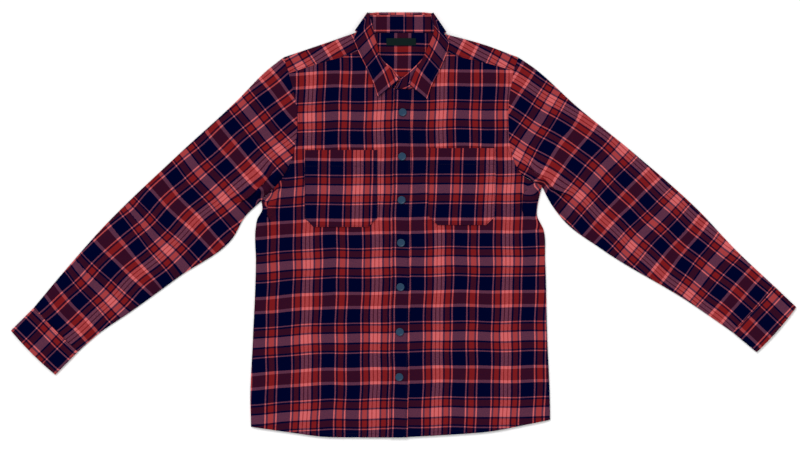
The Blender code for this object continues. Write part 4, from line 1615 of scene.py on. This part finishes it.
@dataclass
class Buttons:
    """The turned buttons down the band."""

    count: int = 7
    sides: int = 56
    sharp: float = 60.0
    # Radius and height of each ring, from the middle of the underside round to the middle above.
    profile: tuple[Plan, ...] = ((0.0, 0.0), (6.6, 0.0), (7.3, 0.5), (7.5, 1.1), (7.4, 1.9),
                                 (7.0, 2.5), (6.5, 2.75), (6.0, 2.65), (5.6, 2.3), (4.5, 2.2),
                                 (0.0, 2.3))

    def build(self, wardrobe: Wardrobe) -> None:
        """Build and hand over each button, on the middle of its node's underside.

        Args:
            wardrobe: the finishes.
        """
        for number in range(1, self.count + 1):
            low, high = (np.array(corner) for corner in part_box(f"button_{number}"))
            middle = (low + high) / 2
            self._button(number, np.array((middle[0], middle[1], low[2])), wardrobe)

    def _button(self, number: int, base: Array, wardrobe: Wardrobe) -> None:
        """Turn one button about its middle.

        Args:
            number: which button.
            base: the middle of its underside, in metres.
            wardrobe: the finishes.
        """
        form, rings = bmesh.new(), []
        for radius, height in self.profile:
            count = self.sides if radius > 0 else 1
            angles = [2 * math.pi * step / count for step in range(count)]
            rings.append([form.verts.new((base[0] + radius * math.cos(a) * MM,
                                          base[1] + radius * math.sin(a) * MM,
                                          base[2] + height * MM)) for a in angles])
        for low, high in zip(rings, rings[1:]):
            for step in range(self.sides):
                after = (step + 1) % self.sides
                if len(low) == 1:
                    form.faces.new((low[0], high[after], high[step]))
                elif len(high) == 1:
                    form.faces.new((low[step], low[after], high[0]))
                else:
                    form.faces.new((low[step], low[after], high[after], high[step]))
        bmesh.ops.recalc_face_normals(form, faces=form.faces)
        name = f"button_{number}_disc"
        mesh = bpy.data.meshes.new(name)
        form.to_mesh(mesh)
        form.free()
        mesh.materials.append(wardrobe.button)
        mesh.shade_smooth()
        mesh.set_sharp_from_angle(angle=math.radians(self.sharp))
        hand_over(linked(name, mesh), f"button_{number}")


@dataclass
class Stitching:
    """Rows of topstitches, set out by Geometry Nodes along each seam."""

    pitch: float = 3.2
    length: float = 2.3
    radius: float = 0.28
    sides: int = 6
    # How far a stitch's middle lies above the cloth, as a share of its radius.
    proud: float = 0.2
    # A stitch's usual distance from an edge, and what each seam multiplies it by.
    inset: float = 2.4
    at_band: float = 1.6
    at_pocket: float = 0.8
    at_corner: float = 0.4
    at_armhole: float = 1.6
    at_cuff_seam: float = 1.4
    at_cuff_end: float = 2.2
    at_leaf: float = 2.2
    # Millimetres: the hem's stitches above its edge, and where the band's and pockets' rows stop.
    hem_height: float = 7.0
    band_stop: float = 3.0
    pocket_stop: float = 1.0
    # Steps along straight rows, and the first share, last share and number of places of others.
    band_steps: int = 240
    pocket_steps: int = 40
    hem_run: Run = (0.02, 0.9, 80)
    yoke_run: Run = (0.08, 0.97, 60)
    armhole_run: Run = (0.04, 0.72, 90)
    cuff_run: Run = (0.05, 0.95, 50)
    leaf_run: Run = (0.03, 0.98, 70)

    def build(self, wardrobe: Wardrobe) -> None:
        """Build the stitches of every seam that shows.

        Args:
            wardrobe: the finishes and the shift.
        """
        lines = self._band_rows()
        for side in Side:
            lines += self._pocket_rows(side) + self._body_rows(side) + self._cuff_rows(side)
            lines.append(self._leaf_row(side))
        curve = bpy.data.curves.new("stitches", "CURVE")
        curve.dimensions = "3D"
        for line in lines:
            spline = curve.splines.new("POLY")
            spline.points.add(len(line) - 1)
            points = (line + wardrobe.shift) * MM
            spline.points.foreach_set("co", np.column_stack((points, np.ones(len(points)))).ravel())
        path = linked("stitches", curve)
        modifier = path.modifiers.new("stitches", "NODES")
        modifier.node_group = self._tree(wardrobe)
        sizes = {"Pitch": self.pitch, "Length": self.length, "Radius": self.radius}
        for item in modifier.node_group.interface.items_tree:
            if item.name in sizes and item.in_out == "INPUT":
                modifier[item.identifier] = sizes[item.name] * MM
        graph = bpy.context.evaluated_depsgraph_get()
        mesh = bpy.data.meshes.new_from_object(path.evaluated_get(graph), depsgraph=graph)
        mesh.name = "topstitches"
        if not mesh.materials:
            mesh.materials.append(wardrobe.thread)
        bpy.data.objects.remove(path)
        bpy.data.curves.remove(curve)
        mesh.shade_smooth()
        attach(linked("topstitches", mesh), "root")
        LOG.info("topstitches: %d faces", len(mesh.polygons))

    def _on(self, plan: Array, above: float = 0.0) -> Array:
        """A row of stitches on the upper layer, raised by the pieces under it."""
        return place(plan, upper(plan) + above + CLOTH / 2 + self.radius * self.proud)

    def _band_rows(self) -> list[Array]:
        """The rows down both edges of the buttonhole band.

        Returns:
            Rows of places, in millimetres.
        """
        rows = []
        for index, inward in ((0, 1.0), (1, -1.0)):
            inset = inward * self.inset * self.at_band
            hem = np.array((BAND["hem"][index] + inset, BAND["hem y"] + self.band_stop))
            neck = np.array((BAND["neck"][index] + inset, BAND["neck y"] - self.band_stop))
            rows.append(self._on(between(hem, neck, even(self.band_steps)), CLOTH + LAID))
        return rows

    def _pocket_rows(self, side: Side) -> list[Array]:
        """The rows round a pocket and along its hem.

        Args:
            side: which pocket.

        Returns:
            Rows of places, in millimetres.
        """
        size, inset = POCKETS[side], self.inset * self.at_pocket
        left, right = size["x"][0] + inset, size["x"][1] - inset
        low, cut = size["bottom"] + inset, size["corner"] - inset * self.at_corner
        high, hem_y = size["top"] - self.pocket_stop, size["top"] - POCKET_HEM
        corners = ((left, high), (left, low + cut), (left + cut, low),
                   (right - cut, low), (right, low + cut), (right, high))
        ends = [*zip(corners, corners[1:]), ((left, hem_y), (right, hem_y))]
        return [self._on(between(np.array(first), np.array(last), even(self.pocket_steps)),
                         CLOTH + LAID) for first, last in ends]

    def _body_rows(self, side: Side) -> list[Array]:
        """The rows along the hem, the yoke's front seam and the armhole.

        Args:
            side: which side of the shirt.

        Returns:
            Rows of places, in millimetres.
        """
        hem = trace(HEM[side], np.linspace(*self.hem_run)) + (0.0, self.hem_height)
        seam = trace(YOKE_SEAM[side], np.linspace(*self.yoke_run)) + (0.0, self.inset)
        inward = (side.outward * self.inset * self.at_armhole, 0.0)
        hole = armhole(side, np.linspace(*self.armhole_run)) - inward
        return [self._on(row) for row in (hem, seam, hole)]

    def _cuff_rows(self, side: Side) -> list[Array]:
        """The rows at a cuff's seam and along its end.

        Args:
            side: which cuff.

        Returns:
            Rows of places, in millimetres.
        """
        corners = {key: np.array(value) for key, value in CUFF_CORNERS[side].items()}
        along = corners["end top"] - corners["seam top"]
        along = along / np.linalg.norm(along)
        share = np.linspace(*self.cuff_run)
        rise = CUFF / 2 + CUFF + LAID + 4 * share * (1 - share) * LOFT * Arms.cuff_loft
        rows = []
        for edge, step in (("seam", self.inset * self.at_cuff_seam),
                           ("end", -self.inset * self.at_cuff_end)):
            top, low = (corners[f"{edge} {fold}"] + step * along for fold in ("top", "low"))
            rows.append(place(between(top, low, share),
                              rise + CUFF / 2 + self.radius * self.proud))
        return rows

    def _leaf_row(self, side: Side) -> Array:
        """The row inside the leaf's outer edge.

        Args:
            side: which side of the collar.

        Returns:
            The row's places, in millimetres.
        """
        outer, inner = (np.array(edge) for edge in zip(*LEAF_FRONT[side]))
        step = (inner - outer) / np.linalg.norm(inner - outer, axis=1)[:, None]
        plan = trace(outer + step * self.inset * self.at_leaf, np.linspace(*self.leaf_run))
        return place(plan, upper(plan) + LEAF_OVER + LEAF / 2 + self.radius * self.proud)

    def _tree(self, wardrobe: Wardrobe) -> bpy.types.NodeTree:
        """The tree that sets stitches along a path.

        Args:
            wardrobe: the finishes.

        Returns:
            The Geometry Nodes tree.
        """
        tree = bpy.data.node_groups.new("stitch_rows", "GeometryNodeTree")
        tree.interface.new_socket("Geometry", in_out="INPUT", socket_type="NodeSocketGeometry")
        for name in ("Pitch", "Length", "Radius"):
            tree.interface.new_socket(name, in_out="INPUT", socket_type="NodeSocketFloat")
        tree.interface.new_socket("Geometry", in_out="OUTPUT", socket_type="NodeSocketGeometry")
        new, link = tree.nodes.new, tree.links.new
        start, end = new("NodeGroupInput"), new("NodeGroupOutput")
        resample = new("GeometryNodeResampleCurve")
        resample.mode = "LENGTH"
        link(start.outputs["Geometry"], resample.inputs["Curve"])
        link(start.outputs["Pitch"], resample.inputs["Length"])
        stitch = new("GeometryNodeMeshCylinder")
        stitch.inputs["Vertices"].default_value = self.sides
        link(start.outputs["Radius"], stitch.inputs["Radius"])
        link(start.outputs["Length"], stitch.inputs["Depth"])
        tangent, align = new("GeometryNodeInputTangent"), new("FunctionNodeAlignEulerToVector")
        align.axis = "Z"
        link(tangent.outputs[0], align.inputs["Vector"])
        instances = new("GeometryNodeInstanceOnPoints")
        realize = new("GeometryNodeRealizeInstances")
        link(resample.outputs[0], instances.inputs["Points"])
        link(stitch.outputs["Mesh"], instances.inputs["Instance"])
        link(align.outputs[0], instances.inputs["Rotation"])
        link(instances.outputs[0], realize.inputs[0])
        dress = new("GeometryNodeSetMaterial")
        dress.inputs["Material"].default_value = wardrobe.thread
        link(realize.outputs[0], dress.inputs["Geometry"])
        link(dress.outputs[0], end.inputs[0])
        return tree


@dataclass
class Studio:
    """The floor, the soft light and the camera straight above."""

    # Metres, but for the sensor in millimetres.
    view_width: float = 1.496
    view_centre: Plan = (-0.0067, -0.0040)
    distance: float = 4.0
    sensor: float = 36.0
    floor_size: float = 6.0
    floor_depth: float = 0.0006
    floor_colour: Colour = (0.95, 0.95, 0.95, 1.0)
    floor_roughness: float = 0.9
    floor_gloss: float = 0.1
    sky: Colour = (1.0, 1.0, 1.0, 1.0)
    sky_strength: float = 0.80
    lamp_strength: float = 1.5
    # Degrees.
    lamp_spread: float = 24.0
    lamp_turn: tuple[float, float, float] = (-36.0, -20.0, 0.0)

    def build(self) -> None:
        """Set the scene."""
        scene = bpy.context.scene
        scene.view_settings.view_transform = "Standard"
        self._floor()
        self._light()
        data = bpy.data.cameras.new("camera")
        data.sensor_width = self.sensor
        data.lens = self.sensor * self.distance / self.view_width
        camera = linked("camera", data)
        camera.location = (*self.view_centre, self.distance)
        scene.camera = camera

    def _floor(self) -> None:
        """A plain pale floor under the shirt."""
        mesh, size, z = bpy.data.meshes.new("floor"), self.floor_size, -self.floor_depth
        mesh.from_pydata([(-size, -size, z), (size, -size, z), (size, size, z), (-size, size, z)],
                         [], [(0, 1, 2, 3)])
        nodes = Nodes("floor")
        surface = nodes.add("ShaderNodeBsdfPrincipled", None,
                            {"Base Color": self.floor_colour, "Roughness": self.floor_roughness,
                             "Specular IOR Level": self.floor_gloss})
        mesh.materials.append(nodes.finish(surface))
        linked("floor", mesh)

    def _light(self) -> None:
        """Light from all round, with one broad lamp from the top left."""
        world = bpy.context.scene.world or bpy.data.worlds.new("world")
        bpy.context.scene.world = world
        world.use_nodes = True
        background = world.node_tree.nodes["Background"]
        background.inputs["Color"].default_value = self.sky
        background.inputs["Strength"].default_value = self.sky_strength
        lamp = bpy.data.lights.new("broad_lamp", "SUN")
        lamp.energy, lamp.angle = self.lamp_strength, math.radians(self.lamp_spread)
        linked("broad_lamp", lamp).rotation_euler = [math.radians(turn) for turn in self.lamp_turn]


def main() -> None:
    """Build the shirt's pieces in order."""
    logging.basicConfig(level=logging.INFO, format="%(name)s: %(message)s")
    for obj in list(bpy.data.objects):
        bpy.data.objects.remove(obj, do_unlink=True)
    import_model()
    low, high = (np.array(corner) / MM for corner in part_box("neck_label"))
    drawn = np.array([sum(LABEL_BOX["x"]) / 2, sum(LABEL_BOX["y"]) / 2])
    shift = np.append(((low + high) / 2)[:2] - drawn, 0.0)
    wardrobe = Wardrobe(shift)
    for part in (Back(), Fronts(), Arms(), Collar(), Buttons(), Stitching()):
        part.build(wardrobe)
    Studio().build()


if __name__ == "__main__":
    main()
